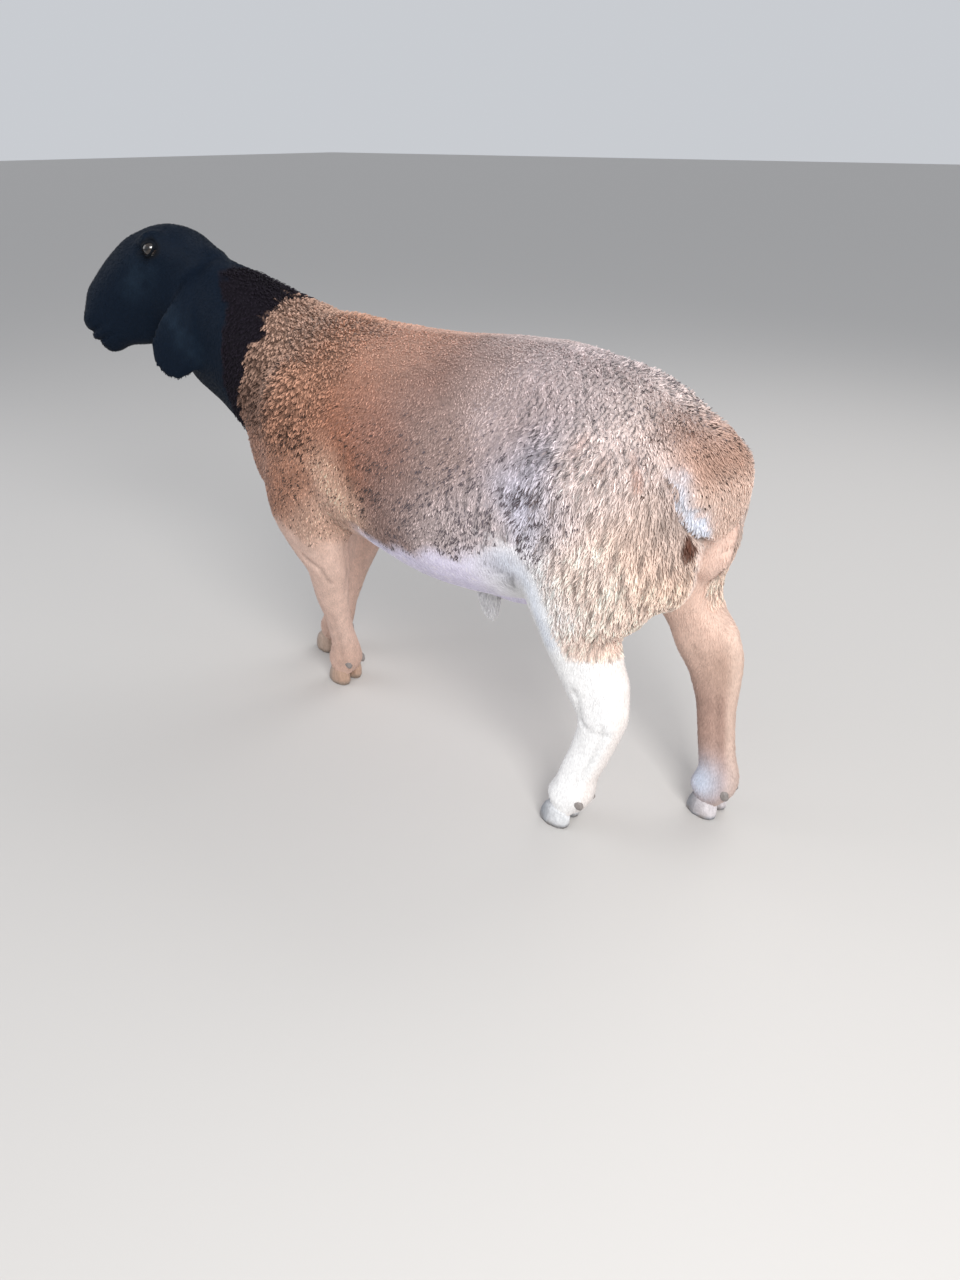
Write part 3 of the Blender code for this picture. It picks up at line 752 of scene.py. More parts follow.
# Painted shade and light on the side of the lower hind legs that faces back: shade on the near leg, a
# lighter tan on the far leg.
NEAR_HEEL_SHADE, FAR_HEEL_LIGHT = (0.76, 0.62, 0.55), (0.84, 0.65, 0.545)
# The far hind leg darkens below the hock, partly its own brown and partly painted shade.
HOCK_BROWN, HOCK_SHADE = (0.35, 0.225, 0.185), (0.4, 0.27, 0.215)
FORE_SHIN, GROIN_GREY, BLUE_FETLOCK = (0.6, 0.4, 0.32), (0.47, 0.465, 0.56), (0.62, 0.7, 0.84)
TAIL_WOOL = (0.84, 0.61, 0.505)
BLUE_TAIL = (0.74, 0.77, 0.87)
BLUE_EDGE = [
    (0.088, 0.495, 0.535), (0.086, 0.5, 0.507), (0.08, 0.504, 0.49), (0.07, 0.51, 0.475),
    (0.05, 0.517, 0.462),
]  # fmt: skip
BROWN_STAIN = (0.115, 0.045, 0.028)
SCRAPED = (0.58, 0.3, 0.22)
SCRAPES = (  # the paths that the shears left, and how strong each is
    ([(0.106, 0.449, 0.563), (0.112, 0.454, 0.547), (0.118, 0.46, 0.532)], 0.75),
    ([(0.128, 0.425, 0.57), (0.133, 0.418, 0.55)], 0.3),
    ([(0.125, 0.395, 0.585), (0.136, 0.385, 0.56)], 0.3),
)
PINK_SKIN = (0.8, 0.58, 0.49)
BLUE_STRIP = (0.74, 0.78, 0.86)
STRIP = [(0.159, 0.3, 0.405), (0.155, 0.337, 0.376), (0.152, 0.35, 0.345), (0.146, 0.362, 0.307)]
# How much darker it is in a fold: with its depth on the legs, and the same in all folds of the body.
FOLD_SHADES = [(path, width, min(0.4, 160 * deep)) for path, width, deep in LEG_FOLDS.values()]
FOLD_SHADES += [(path, width, 0.5) for path, width, deep in FOLDS.values()]
# In the head's axes, the places on the cheek and down the ear where painted sheen lightens the black hair.
PAINTED_SHEEN_HAIR = (0.0095, 0.02, 0.036)
LID_COLOUR, LID_RIM = (0.0035, 0.005, 0.008), 0.0035
WOOL_SHADE, HAIR_LIGHT = 0.7, 0.25  # the skin is this dark under wool, and this much lighter under hair
PAINTED_SHEEN_PATHS = (
    ([(0.09, 0.05, -0.002), (0.118, 0.05, -0.012)], 0.022),
    ([(0.08, 0.093, -0.07), (0.079, 0.094, -0.15)], 0.018),
)


def toward(colours, colour, share):
    share = np.clip(share, 0, 1)[:, None]
    return colours * (1 - share) + np.array(colour) * share


def painted(colours, layers):
    """The colours with each layer's colour laid over them by its share, in turn."""
    for colour, share in layers:
        colours = toward(colours, colour, share)
    return colours


def wool_colour(at):
    total, weight = np.zeros((len(at), 3)), np.zeros(len(at))
    warp = 0.02 * waves(at, 0.07, 11)
    for along, high, reach, colour in WOOL_ZONES.values():
        w = np.exp(-((at[:, 1] + warp - along) ** 2 + (at[:, 2] + warp - high) ** 2) / reach**2) + 1e-6
        total += w[:, None] * np.array(colour)
        weight += w
    mottle = 1 + 0.05 * waves(at, 0.01, 17) + 0.05 * waves(at, 0.026, 18)
    return total / weight[:, None] * mottle[:, None]


def hair_colour(at, normals, parts):
    _, along, high = at.T
    left_leg = (at[:, 0] > 0.02) * step(along, 0.22, 0.3)
    right_leg = (at[:, 0] < 0.02) * step(along, 0.24, 0.32)
    fore = step(along, 0.03, -0.01)
    low = step(high, 0.34, 0.28)
    groin = spot(at * (0, 1, 1), (0, 0.295, 0.402), 0.035)
    hair = painted(np.tile(BELLY_HAIR, (len(at), 1)), (
        (HAIR_COLOURS["hind_left"], left_leg),
        (HAIR_COLOURS["hind_right"], right_leg),
        (HAIR_COLOURS["fore"], fore),
        # painted shade on the back of the near hind leg
        (NEAR_HEEL_SHADE, 0.4 * (step(normals[:, 1], 0.25, 0.85) * low) * left_leg),
        (HOCK_BROWN, 0.85 * step(high, 0.26, 0.17) * right_leg),
        (HOCK_SHADE, 0.8 * spot(at, (-0.05, 0.535, 0.235), 0.04) * right_leg),
        (FORE_SHIN, 0.6 * step(high, 0.12, 0.07) * fore),
        (GROIN_GREY, 0.8 * groin),
        # painted light: the back of the far hind leg is lighter and tanner
        (FAR_HEEL_LIGHT, 0.45 * step(normals[:, 1], 0.3, 0.85) * low * right_leg),
        (BLUE_FETLOCK, 0.9 * spot(at, (-0.02, 0.53, 0.062), 0.032)),
    ))  # fmt: skip
    stubble = 0.045 * waves(at * (1, 1, 0.5), 0.006, 14) + 0.03 * waves(at, 0.02, 15)
    hair *= (1 + (0.3 + 0.7 * (1 - left_leg)) * stubble)[:, None]
    return toward(hair, SHEATH_HAIR, is_part(parts, "sheath_tuft"))


def coat_colour(at, normals, parts):
    """The one rule of all markings, for the skin and for the roots of its coat."""
    _, along, high = at.T
    bare = bare_share(at, normals, parts)
    colour = wool_colour(at) * (1 - bare[:, None]) + hair_colour(at, normals, parts) * bare[:, None]
    for path, width, share in FOLD_SHADES:
        colour *= (1 - share * groove(at, path, width * 0.6))[:, None]
    flap = inside_flap(at)
    blue_edge = groove(at, BLUE_EDGE, 0.015) + 0.7 * spot(at, (0.062, 0.514, 0.482), 0.02)
    blue_edge = blue_edge * (0.85 + 0.3 * waves(at, 0.012, 13))
    colour = painted(colour, (
        (BLUE_STRIP, 0.8 * bare * groove(both_sides(at), STRIP, 0.015)),
        (PINK_SKIN, bare * step(along, 0.45, 0.48) * step(high, 0.33, 0.38)),
        (TAIL_WOOL, 0.9 * step(flap, -0.001, 0.004) * step(high, 0.545, 0.505)),
        (BLUE_TAIL, step(flap, -0.001, 0.003) * blue_edge),
    ))  # fmt: skip
    # Painted shadow in the groove under the lower edge of the tail's flap.
    colour *= (1 - 0.62 * bell(flap + 0.0035, 0.0035) * step(high, 0.515, 0.475))[:, None]
    stain = 1.1 * spot(at, (0.079, 0.514, 0.458), 0.013) + 0.8 * spot(at, (0.073, 0.518, 0.445), 0.009)
    stain = (flap < 0) * step(stain + 0.25 * waves(at, 0.012, 12), 0.45, 0.75)
    before_band = step(-behind_band(at), -0.002, 0.002)
    black = np.maximum(black_share(at, parts), is_part(parts, "head", "jaw") * before_band)
    on_face = both_sides(on_head(at), 1)
    scraped = [(SCRAPED, share * groove(at, path, 0.0062)) for path, share in SCRAPES]
    # Painted sheen: the black hair is lighter on the cheek and down the ear.
    painted_sheen = [groove(on_face, path, width) * (0.7 + 0.3 * waves(at, 0.012, 16)) for path, width in PAINTED_SHEEN_PATHS]
    return painted(colour, (
        *scraped,
        (BROWN_STAIN, stain),
        (DARK_WOOL, before_band),
        (BLACK_HAIR, black),
        *((PAINTED_SHEEN_HAIR, 0.8 * black * share) for share in painted_sheen),
    ))  # fmt: skip


def write_hue(mesh, colours):
    layer = mesh.color_attributes.new(name="hue", type="FLOAT_COLOR", domain="POINT")
    rgba = np.ones((len(colours), 4), np.float32)
    rgba[:, :3] = colours
    layer.data.foreach_set("color", rgba.ravel())


points = get_points(skin.data)
normals = get_normals(skin.data)
parts = parts_at(points)
bare = bare_share(points, normals, parts)
skin_colour = coat_colour(points, normals, parts) * (WOOL_SHADE + HAIR_LIGHT * bare)[:, None]
for centre in eye_centres.values():
    rim = bell(np.linalg.norm(points - centre, axis=1) - EYE_RADIUS, LID_RIM)
    skin_colour = toward(skin_colour, LID_COLOUR, rim)
write_hue(skin.data, skin_colour)

# %% [markdown]
# ## The skin's finish
# The skin takes its colour from the markings, and noise breaks it up, finer than the coat's locks.
# Where hair lies flat, the grain of that hair is a bump: the noise is stretched from top to bottom, as
# hair lies on a leg. A sheen, where a finish has one, stands for hairs that catch the light at the edge.

# %% The skin's finish
SHEEN_ROUGHNESS = 0.45
GRAIN_STRETCH = (1.0, 0.8, 0.3)
BUMP_HEIGHT = 0.0012


def hide_material(name, roughness, sheen, grain, bump, vary, shine=0.2):
    """The markings, made lighter and darker by a noise of this grain, which is also the bump."""
    material = bpy.data.materials.new(name)
    material.use_nodes = True
    nodes, links = material.node_tree.nodes, material.node_tree.links
    shader = nodes["Principled BSDF"]
    tune(shader, Roughness=roughness, Sheen_Weight=sheen, Sheen_Roughness=SHEEN_ROUGHNESS)
    tune(shader, Specular_IOR_Level=shine)
    kinds = ("Attribute", "TexCoord", "Mapping", "TexNoise", "MapRange", "VectorMath", "Bump")
    hue, place, stretch, noise, span, tint, relief = (nodes.new("ShaderNode" + kind) for kind in kinds)
    hue.attribute_name = "hue"
    tint.operation = "SCALE"
    tune(stretch, Scale=GRAIN_STRETCH)
    tune(noise, Scale=grain, Detail=5.0)
    tune(span, From_Min=0.3, From_Max=0.7, To_Min=1.0 - vary, To_Max=1.0 + vary)
    tune(relief, Strength=bump, Distance=BUMP_HEIGHT)
    for source, output, target, socket in (
        (place, "Object", stretch, "Vector"),
        (stretch, "Vector", noise, "Vector"),
        (noise, "Fac", span, "Value"),
        (hue, "Color", tint, 0),
        (span, "Result", tint, "Scale"),
        (tint, "Vector", shader, "Base Color"),
        (noise, "Fac", relief, "Height"),
        (relief, "Normal", shader, "Normal"),
    ):
        links.new(source.outputs[output], target.inputs[socket])
    return material


skin.data.materials.clear()
skin.data.materials.append(hide_material("hide", 0.66, 0.0, 520.0, 0.55, 0.16, 0.12))
skin.data.shade_smooth()
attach(skin, "root")
flesh = [n for n in node_names if "claw" not in n and not n.startswith("eye_")]
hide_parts(*flesh)
skin_triangles = sum(len(p.vertices) - 2 for p in skin.data.polygons)
print("skin replaces", len(flesh), "nodes and has", skin_triangles, "triangles")

# %% [markdown]
# ## Eyes
# A sheep's eye is a ball with a clear bulge in front, a brown iris and a pupil that is a lying bar. The
# ball is a fine sphere, so that its iris and pupil can be painted on its points. The wet gloss is a coat
# over the colour, and the lamps then put a spark on it.

# %% Eyes
IRIS_ANGLE = 0.78  # radians from the eye's axis to the iris's edge
PUPIL = (0.42, 0.17)  # half length and half height of the bar, as shares of the radius
CORNEA_BULGE = 0.0007
CORNEA_ANGLE = 0.62
EYE_WHITE, IRIS, IRIS_RING, PUPIL_BLACK = (
    (0.016, 0.014, 0.014), (0.016, 0.009, 0.005), (0.012, 0.009, 0.008), (0.002, 0.002, 0.003),
)  # fmt: skip

eye_material = hide_material("wet_eye", 0.22, 0.0, 900.0, 0.0, 0.1, 0.4)
tune(eye_material.node_tree.nodes["Principled BSDF"], Coat_Weight=1.0, Coat_Roughness=0.04)
for side, centre in eye_centres.items():
    out, along, upper = eye_axes(side)
    deselect()
    bpy.ops.mesh.primitive_uv_sphere_add(segments=72, ring_count=48, radius=EYE_RADIUS, location=centre)
    eye = bpy.context.object
    eye.name = "eyeball_" + side
    bpy.ops.object.transform_apply(location=True, rotation=True, scale=True)
    ball = get_points(eye.data)
    way = unit(ball - centre)
    off_axis = np.arccos(np.clip(way @ out, -1, 1))
    ball += way * (CORNEA_BULGE * bell(off_axis, CORNEA_ANGLE, 4))[:, None]
    set_points(eye.data, ball)
    a, b = way @ along, way @ upper
    colour = np.tile(EYE_WHITE, (len(ball), 1))
    around = np.arctan2(b, a)
    streaks = 1 + 0.25 * np.sin(around * 23) * np.sin(around * 9 + 1)
    iris = step(off_axis, IRIS_ANGLE + 0.05, IRIS_ANGLE - 0.05)
    colour = toward(colour, IRIS, iris) * (1 + iris * (streaks - 1))[:, None]
    colour = toward(colour, IRIS_RING, bell(off_axis - IRIS_ANGLE, 0.09))
    bar = (np.abs(a / PUPIL[0]) ** 4 + np.abs(b / PUPIL[1]) ** 2.5) < 1
    colour[bar & (way @ out > 0)] = PUPIL_BLACK
    write_hue(eye.data, colour)
    eye.data.materials.append(eye_material)
    eye.data.shade_smooth()
    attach(eye, "root")
    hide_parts("eye_" + side)
    print(eye.name, len(eye.data.polygons), "faces")

# %% [markdown]
# ## Hooves
# Each foot has two claws of horn and two small dewclaws above the heel. The solids give their shape in
# a few flats. A copy of each is remeshed finely and smoothed, its sole is set flat on the floor again,
# and shallow growth rings run round it, parallel to the hair's edge. The toe is darker than the heel.

# %% Hooves
HOOF_PITCH, DEWCLAW_PITCH = 0.0013, 0.00091
RING_GAP, RING_DEPTH, RING_SLOPE = 0.0042, 0.00022, 0.25
SOLE_HEIGHT = 0.0012  # what lies lower than this is the sole
HORN_COLOURS = {
    "hind_left": (0.66, 0.67, 0.69), "hind_right": (0.62, 0.58, 0.6), "fore_left": (0.44, 0.295, 0.22),
    "fore_right": (0.46, 0.34, 0.27), "dewclaw": (0.235, 0.21, 0.2),
}  # fmt: skip
TOE_COLOURS = {"hind": (0.15, 0.17, 0.2), "fore": (0.3, 0.24, 0.2)}
HOOF_BASE_DARK = (0.2, 0.15, 0.115)

horn_material = hide_material("hoof_horn", 0.46, 0.0, 420.0, 0.25, 0.16, 0.4)
for name in (n for n in node_names if "claw" in n):
    small = "dewclaw" in name
    hoof = copy_of(name, name + "_horn")
    pitch = DEWCLAW_PITCH if small else HOOF_PITCH
    apply(hoof, "REMESH", mode="VOXEL", voxel_size=pitch, use_smooth_shade=True)
    horn = get_points(hoof.data)
    soft, first, _ = rounded_off(hoof.data, SOFTNESS, 5, 8)
    low_corner, high_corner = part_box(name)
    if not small:
        turns = 2 * math.pi * (soft[:, 2] + RING_SLOPE * soft[:, 1]) / RING_GAP
        soft += first * (RING_DEPTH * np.sin(turns))[:, None]
        on_floor = horn[:, 2] < low_corner.z + SOLE_HEIGHT
        soft[:, 2] = np.where(on_floor, low_corner.z, np.maximum(soft[:, 2], low_corner.z))
    set_points(hoof.data, soft)
    toe = step(-soft[:, 1], -high_corner.y + 0.012, -low_corner.y - 0.004)
    toe = np.maximum(toe, step(soft[:, 2], 0.01, 0.002))
    # The horn is darker towards the sole, with noise.
    toward_sole = step(soft[:, 2], 0.016, 0.0) * (0.6 + 0.4 * waves(soft, 0.008, 51))
    pale = HORN_COLOURS["dewclaw" if small else name.rsplit("_", 2)[0]]
    toe_layer = (TOE_COLOURS[name[:4]], 0.8 * toe)
    horn_colour = painted(np.tile(pale, (len(soft), 1)), (toe_layer, (HOOF_BASE_DARK, 0.55 * toward_sole)))
    write_hue(hoof.data, horn_colour)
    hoof.data.materials.append(horn_material)
    hoof.data.shade_smooth()
    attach(hoof, "root")
    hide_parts(name)
print("hooves made")

# %% [markdown]
# ## One lock, modelled once
# All the coat is made of two small shapes. A thick lock of wool is a three-sided spindle with two rings
# between its root and its tip, and a thin lock or a tuft of hair is a blade with one ring. Each starts as
# a cone of height 1 that is cut across, and every copy of it is later bent and sized by numbers.

# %% One lock, modelled once
def modelled(name, cuts, girths):
    """A cone along z from 0 to 1 with a ring at each cut, and these girths at its root and rings."""
    deselect()
    bpy.ops.mesh.primitive_cone_add(vertices=3, radius1=1, radius2=0, depth=1, location=(0, 0, 0.5))
    obj = bpy.context.object
    obj.name = name
    bpy.ops.object.transform_apply(location=True, rotation=True, scale=True)
    mode("EDIT")
    for cut in cuts:
        bpy.ops.mesh.select_all(action="SELECT")
        bpy.ops.mesh.bisect(plane_co=(0, 0, cut), plane_no=(0, 0, 1))
    mode("OBJECT")
    shape = get_points(obj.data)
    for height, girth in zip((0.0, *cuts), girths):
        ring = np.abs(shape[:, 2] - height) < 1e-4
        shape[ring, :2] *= girth / (1 - height)
    polygons = [list(p.vertices) for p in obj.data.polygons]
    bpy.data.objects.remove(obj)
    print(name, "has", len(shape), "points and", sum(len(p) - 2 for p in polygons), "triangles")
    return shape, polygons


LOCK = modelled("lock", (0.34, 0.72), (0.7, 1.0, 0.8))
BLADE = modelled("blade", (0.45,), (0.75, 1.0))

# %% [markdown]
# ## The kinds of coat
# Each kind has the spacing of its locks, their length, width and thickness, how high they stand, how
# wide the clumps are in which their tips meet, how strongly they do, and how much they curl. A shorn
# neck is pebbled, the barrel is short and even, and the thighs have long upright locks.

# %% The kinds of coat
# spacing, length, width, thickness, height as a share of the coat's depth, clump, pull, curl, share of
# the gap colour, that colour, template. The gap colour is painted shade mixed with dirt, at the bottom
# of the locks and between the clumps. The lengths are in millimetres.
BROWN_GAP, GREY_GAP, PLAIN_GAP = (0.045, 0.022, 0.015), (0.19, 0.165, 0.19), (0.13, 0.095, 0.09)
CREAM_GAP = (0.27, 0.19, 0.16)
NO_GAP = (0.3, 0.3, 0.3)
KINDS = {
    "face": (4.2, 7.5, 1.6, 0.35, 0.5, 0, 0.0, 0.0, 0.0, NO_GAP, BLADE),
    "ear": (4.2, 7.0, 1.6, 0.35, 0.5, 0, 0.0, 0.0, 0.0, NO_GAP, BLADE),
    "band": (3.6, 7.0, 2.6, 1.2, 1.0, 7.0, 0.55, 0.8, 0.55, (0.002, 0.0015, 0.002), LOCK),
    "pebble": (3.2, 7.0, 3.0, 2.2, 1.0, 7.5, 0.8, 0.5, 0.92, BROWN_GAP, LOCK),
    "barrel": (2.9, 6.0, 1.8, 0.7, 0.9, 5.0, 0.3, 0.3, 0.55, PLAIN_GAP, BLADE),
    "flank": (2.7, 9.0, 1.6, 0.7, 0.9, 5.0, 0.4, 0.4, 0.85, GREY_GAP, BLADE),
    "loin": (2.7, 7.5, 1.7, 0.9, 0.85, 5.5, 0.35, 0.5, 0.7, GREY_GAP, BLADE),
    "thigh": (2.8, 12.0, 1.7, 0.9, 0.8, 6.0, 0.3, 0.5, 0.75, CREAM_GAP, BLADE),
    "tail": (3.0, 9.0, 1.8, 0.5, 0.8, 5.0, 0.3, 0.3, 0.25, PLAIN_GAP, BLADE),
    "belly": (4.2, 12.0, 1.7, 0.4, 0.6, 0, 0.0, 0.3, 0.0, NO_GAP, BLADE),
    "leg": (4.6, 8.0, 1.7, 0.35, 0.45, 0, 0.0, 0.2, 0.0, NO_GAP, BLADE),
    "sheath": (1.5, 15.0, 1.5, 0.7, 6.0, 0, 0.0, 2.0, 0.0, NO_GAP, BLADE),
}
KIND_NAMES = list(KINDS)


def kind_at(at, normals, parts, random):
    """The index in KIND_NAMES of the coat's kind at each point. At the borders the kinds mingle."""
    bare = bare_share(at, normals, parts) > random.uniform(0.25, 0.75, len(at))
    along = at[:, 1] + random.normal(0, 0.018, len(at)) + 0.012 * waves(at, 0.03, 23)
    high = at[:, 2] + random.normal(0, 0.012, len(at))
    before_band = behind_band(at) < 0
    low_leg = (high < 0.3) | is_part(parts, "shin", "shank", "forearm")
    kind = np.full(len(at), KIND_NAMES.index("barrel"))
    for name, here in (
        ("pebble", (along < -0.05 + 0.35 * (high - 0.55)) & (high > 0.49)),
        ("flank", (along > 0.22) & (high < 0.53)),
        ("loin", (along > 0.24) & (high > 0.53)),
        ("thigh", (along > 0.31 + 0.3 * (high - 0.4)) & (high < 0.54)),
        ("tail", (inside_flap(at) > 0) & (high < 0.575)),
        ("belly", bare),
        ("leg", bare & low_leg),
        ("band", before_band),
        ("face", (behind_head(at) < 0) | (is_part(parts, "head", "jaw") & before_band)),
        ("ear", is_part(parts, "ear_")),
        ("sheath", is_part(parts, "sheath_tuft")),
    ):
        kind[here] = KIND_NAMES.index(name)
    return kind


# %% [markdown]
# ## How the coat lies
# A coat lies like shingles, away from the nose and towards the ground: back along the face, down the
# ears and legs, back and down on the body, and out to both sides over the croup. The direction is
# worked out first without the skin, and then laid flat on it.

# %% How the coat lies
CROUP, CROUP_REACH = (0, 0.39, 0.63), 0.12


def on_croup(at):
    return step(spot(at * (0, 1, 1), CROUP, CROUP_REACH), 0.0, 0.7)


def lie_of_coat(at, normals, parts):
    side = np.sign(at[:, 0])
    lie = np.zeros((len(at), 3))
    top = step(normals[:, 2], 0.45, 0.85)
    under = step(-normals[:, 2], 0.3, 0.7)
    lie[:, 0] = 0.3 * side * top
    lie[:, 1] = -0.14 * (1 - top) + 0.85 * top + 1.2 * under
    lie[:, 2] = -1
    croup = on_croup(at)
    lie[:, 0] += 0.9 * side * top * croup
    lie[:, 1] -= (0.45 * (1 - top) + 0.55 * top) * croup
    lie[is_part(parts, "shin", "shank")] = (0, 0.1, -1)
    lie[is_part(parts, "head", "jaw")] = -ahead - 0.25 * crown
    lie[is_part(parts, "ear_")] = (0.05, -0.08, -1)
    lie[is_part(parts, "sheath_tuft")] = (0, 0.15, -1)
    lie[:, 0] += 0.18 * waves(at, 0.05, 21)
    lie[:, 1] += 0.18 * waves(at, 0.05, 22)
    lie -= normals * (lie * normals).sum(1)[:, None]
    return unit(lie)


# %% [markdown]
# ## Sowing the roots
# Roots are thrown on the skin at random, more on larger faces, and then thinned so that each small
# cube of space keeps one. That gives an even coat with no rows. The same thinning with larger cubes
# picks the middle of each clump.

# %% Sowing the roots
SEED = 20
THROWN = 420000
EYE_CLEAR = 0.0185  # no hair grows nearer than this to the middle of an eye
NOSE = [(0.24, 0, -0.03), (0.232, 0.014, -0.016)]  # in the head's axes, where it is bare
HOOF_TOP = 0.012
CUBE_SHIFT = 0.37
CUBE_PRIMES = np.array((73856093, 19349663, 83492791))
random = np.random.default_rng(SEED)


def thinned(at, pitch):
    """The places in the list of one point for each cube of this size."""
    cell = np.floor(at / pitch + CUBE_SHIFT).astype(np.int64)
    key = np.bitwise_xor.reduce(cell * CUBE_PRIMES, axis=1)  # one number for each cube
    return np.sort(np.unique(key, return_index=True)[1])


skin.data.calc_loop_triangles()
triangles = np.empty(len(skin.data.loop_triangles) * 3, np.int32)
skin.data.loop_triangles.foreach_get("vertices", triangles)
triangles = triangles.reshape(-1, 3)
corners_at = points[triangles]
first, second, third = corners_at.transpose(1, 0, 2)
area = np.linalg.norm(np.cross(second - first, third - first), axis=1) / 2
print("skin area", round(float(area.sum()), 3), "square metres")

chosen = random.choice(len(area), THROWN, p=area / area.sum())
shares = random.dirichlet((1, 1, 1), THROWN)
roots = (corners_at[chosen] * shares[:, :, None]).sum(1)
root_normals = unit((normals[triangles[chosen]] * shares[:, :, None]).sum(1))
root_parts = parts[triangles[chosen, 0]]
near_eye = by_the_eyes(EYE_CLEAR)(roots)
on_nose = groove(both_sides(on_head(roots), 1), NOSE, 0.012) > 0.4
in_flap_groove = (np.abs(inside_flap(roots) + 0.0035) < 0.0035) & (roots[:, 2] < 0.505)
keep = ~(is_part(root_parts, "claw") | near_eye | on_nose | in_flap_groove | (roots[:, 2] < HOOF_TOP))
roots, root_normals, root_parts = roots[keep], root_normals[keep], root_parts[keep]
root_kinds = kind_at(roots, root_normals, root_parts, random)

picked = []
for index, name in enumerate(KIND_NAMES):
    mine = np.flatnonzero(root_kinds == index)
    picked.append(mine[thinned(roots[mine], KINDS[name][0] / 1000)])
    print(name, len(picked[-1]), "locks")
picked = np.concatenate(picked)
roots, root_normals = roots[picked], root_normals[picked]
root_parts, root_kinds = root_parts[picked], root_kinds[picked]

# %% [markdown]
# ## Clumps and wrinkles
# Wool grease draws the tips of neighbouring locks together, so a clump stands up in its middle and the
# gap to the next one is dark. Over the croup the wool lies in slanting wrinkles, and down the thigh and
# the flank it parts into upright locks. `crest` is 1 on the top of a clump or wrinkle and 0 in the gap
# beside it. The wrinkles also lift the roots and tilt the locks away from their tops.

# %% Clumps and wrinkles
RIDGE_HEIGHT = 0.0021
RIDGE_TILT = 1.8  # how much more the wrinkles tilt the locks than their height alone would
NUDGE = 0.0004  # the step over which the wrinkles' slope is measured
# How much of a kind's crest comes from its upright partings, and how much taller than wide its clumps are.
PARTED = {"thigh": 0.75, "flank": 0.7, "loin": 0.25, "barrel": 0.3}
STRETCH = {"thigh": 2.6, "flank": 2.6, "pebble": 1.7}
PLAIN_STRETCH = 1.35
CLUMP_REACH = 0.62  # how far from its middle a clump ends, as a share of the clumps' spacing


def ridges(at):
    """Slanting wrinkles over the croup and haunch: less than 0 in a gap, more than 0 on a ridge."""
    across = at[:, 1] - 0.2 * np.abs(at[:, 0]) - 0.5 * at[:, 2]
    slanted = np.stack((0.35 * at[:, 0], across, 0.35 * at[:, 2]), 1)
    fine, broad = waves(slanted, 0.0031, 31, 14), waves(slanted * (1, 1, 0.8), 0.0075, 32)
    zone = step(at[:, 1], 0.22, 0.34) * step(at[:, 2], 0.49, 0.55)
    zone *= step(inside_flap(at) * (at[:, 2] < 0.575), 0.01, 0.0)
    return zone * np.clip((0.15 + 0.95 * on_croup(at)) * fine + 0.3 * broad, -1.2, 1.2)


def partings(at):
    """Upright partings in the wool, from 0 in a gap to 1 on a lock."""
    return step(waves(at * (1, 1, 0.18), 0.0048, 34), -1.3, -0.2)


def clumps(at, pitch, stretch):
    """For each root the middle of its clump, its nearness to that, and the clump's own random number."""
    squeezed = at * (1, 1, 1 / stretch)
    middles = thinned(squeezed, pitch)
    tree = KDTree(len(middles))
    for place, index in enumerate(middles):
        tree.insert(squeezed[index], place)
    tree.balance()
    found = [tree.find(p) for p in squeezed]
    owner = np.array([f[1] for f in found])
    gap = np.array([f[2] for f in found])
    luck = random.uniform(-1, 1, len(middles))[owner]
    return at[middles[owner]], np.clip(1 - gap / (CLUMP_REACH * pitch), 0, 1), luck


lie = lie_of_coat(roots, root_normals, root_parts)
flat_normals = root_normals.copy()
crest = np.ones(len(roots))
draw = np.zeros((len(roots), 3))
clump_luck = np.zeros(len(roots))
for index, name in enumerate(KIND_NAMES):
    clump, pull = KINDS[name][5] / 1000, KINDS[name][6]
    mine = np.flatnonzero(root_kinds == index)
    if clump and len(mine):
        middle, near, luck = clumps(roots[mine], clump, STRETCH.get(name, PLAIN_STRETCH))
        draw[mine] = (middle - roots[mine]) * pull
        crest[mine], clump_luck[mine] = near, luck
ridge = ridges(roots)
upright = np.array([PARTED.get(name, 0) for name in KIND_NAMES])[root_kinds]
crest = crest * (1 - upright) + partings(roots) * upright
crest = np.clip(crest + 0.75 * ridge, 0, 1)
slope = np.stack([(ridges(roots + way * NUDGE) - ridge) / NUDGE for way in np.eye(3)], 1)
roots += root_normals * (RIDGE_HEIGHT * np.maximum(ridge, 0))[:, None]
slope -= root_normals * (slope * root_normals).sum(1)[:, None]
root_normals = unit(root_normals - RIDGE_TILT * RIDGE_HEIGHT * slope)
print("mean crest", round(float(crest.mean()), 2))

# %% [markdown]
# ## A map of the skin for the coat
# Every tuft needs a small patch of its own on a flat map, so that its colour can be baked into a
# picture. A coarse copy of the skin is unwrapped, and each root looks up its place there.

# %% A map of the skin for the coat
PATCH = 0.003
CHART_SHARE = 0.05  # of the skin's faces

chart = bpy.data.objects.new("chart", skin.data.copy())
add_to_scene(chart)
apply(chart, "DECIMATE", ratio=CHART_SHARE)
only(chart)
mode("EDIT")
bpy.ops.mesh.select_all(action="SELECT")
bpy.ops.mesh.quads_convert_to_tris()
bpy.ops.uv.smart_project(angle_limit=math.radians(66), island_margin=0.004)
mode("OBJECT")
chart_uv = read(chart.data.uv_layers.active.data, "uv", 2).reshape(-1, 3, 2)
chart_points = get_points(chart.data)
chart_faces = np.array([list(p.vertices) for p in chart.data.polygons])
chart_tree = BVHTree.FromPolygons(chart_points.tolist(), chart_faces.tolist())
hits = [chart_tree.find_nearest(p) for p in roots.tolist()]
hit_face = np.array([h[2] for h in hits])
hit_at = np.array([tuple(h[0]) for h in hits])
bpy.data.objects.remove(chart)


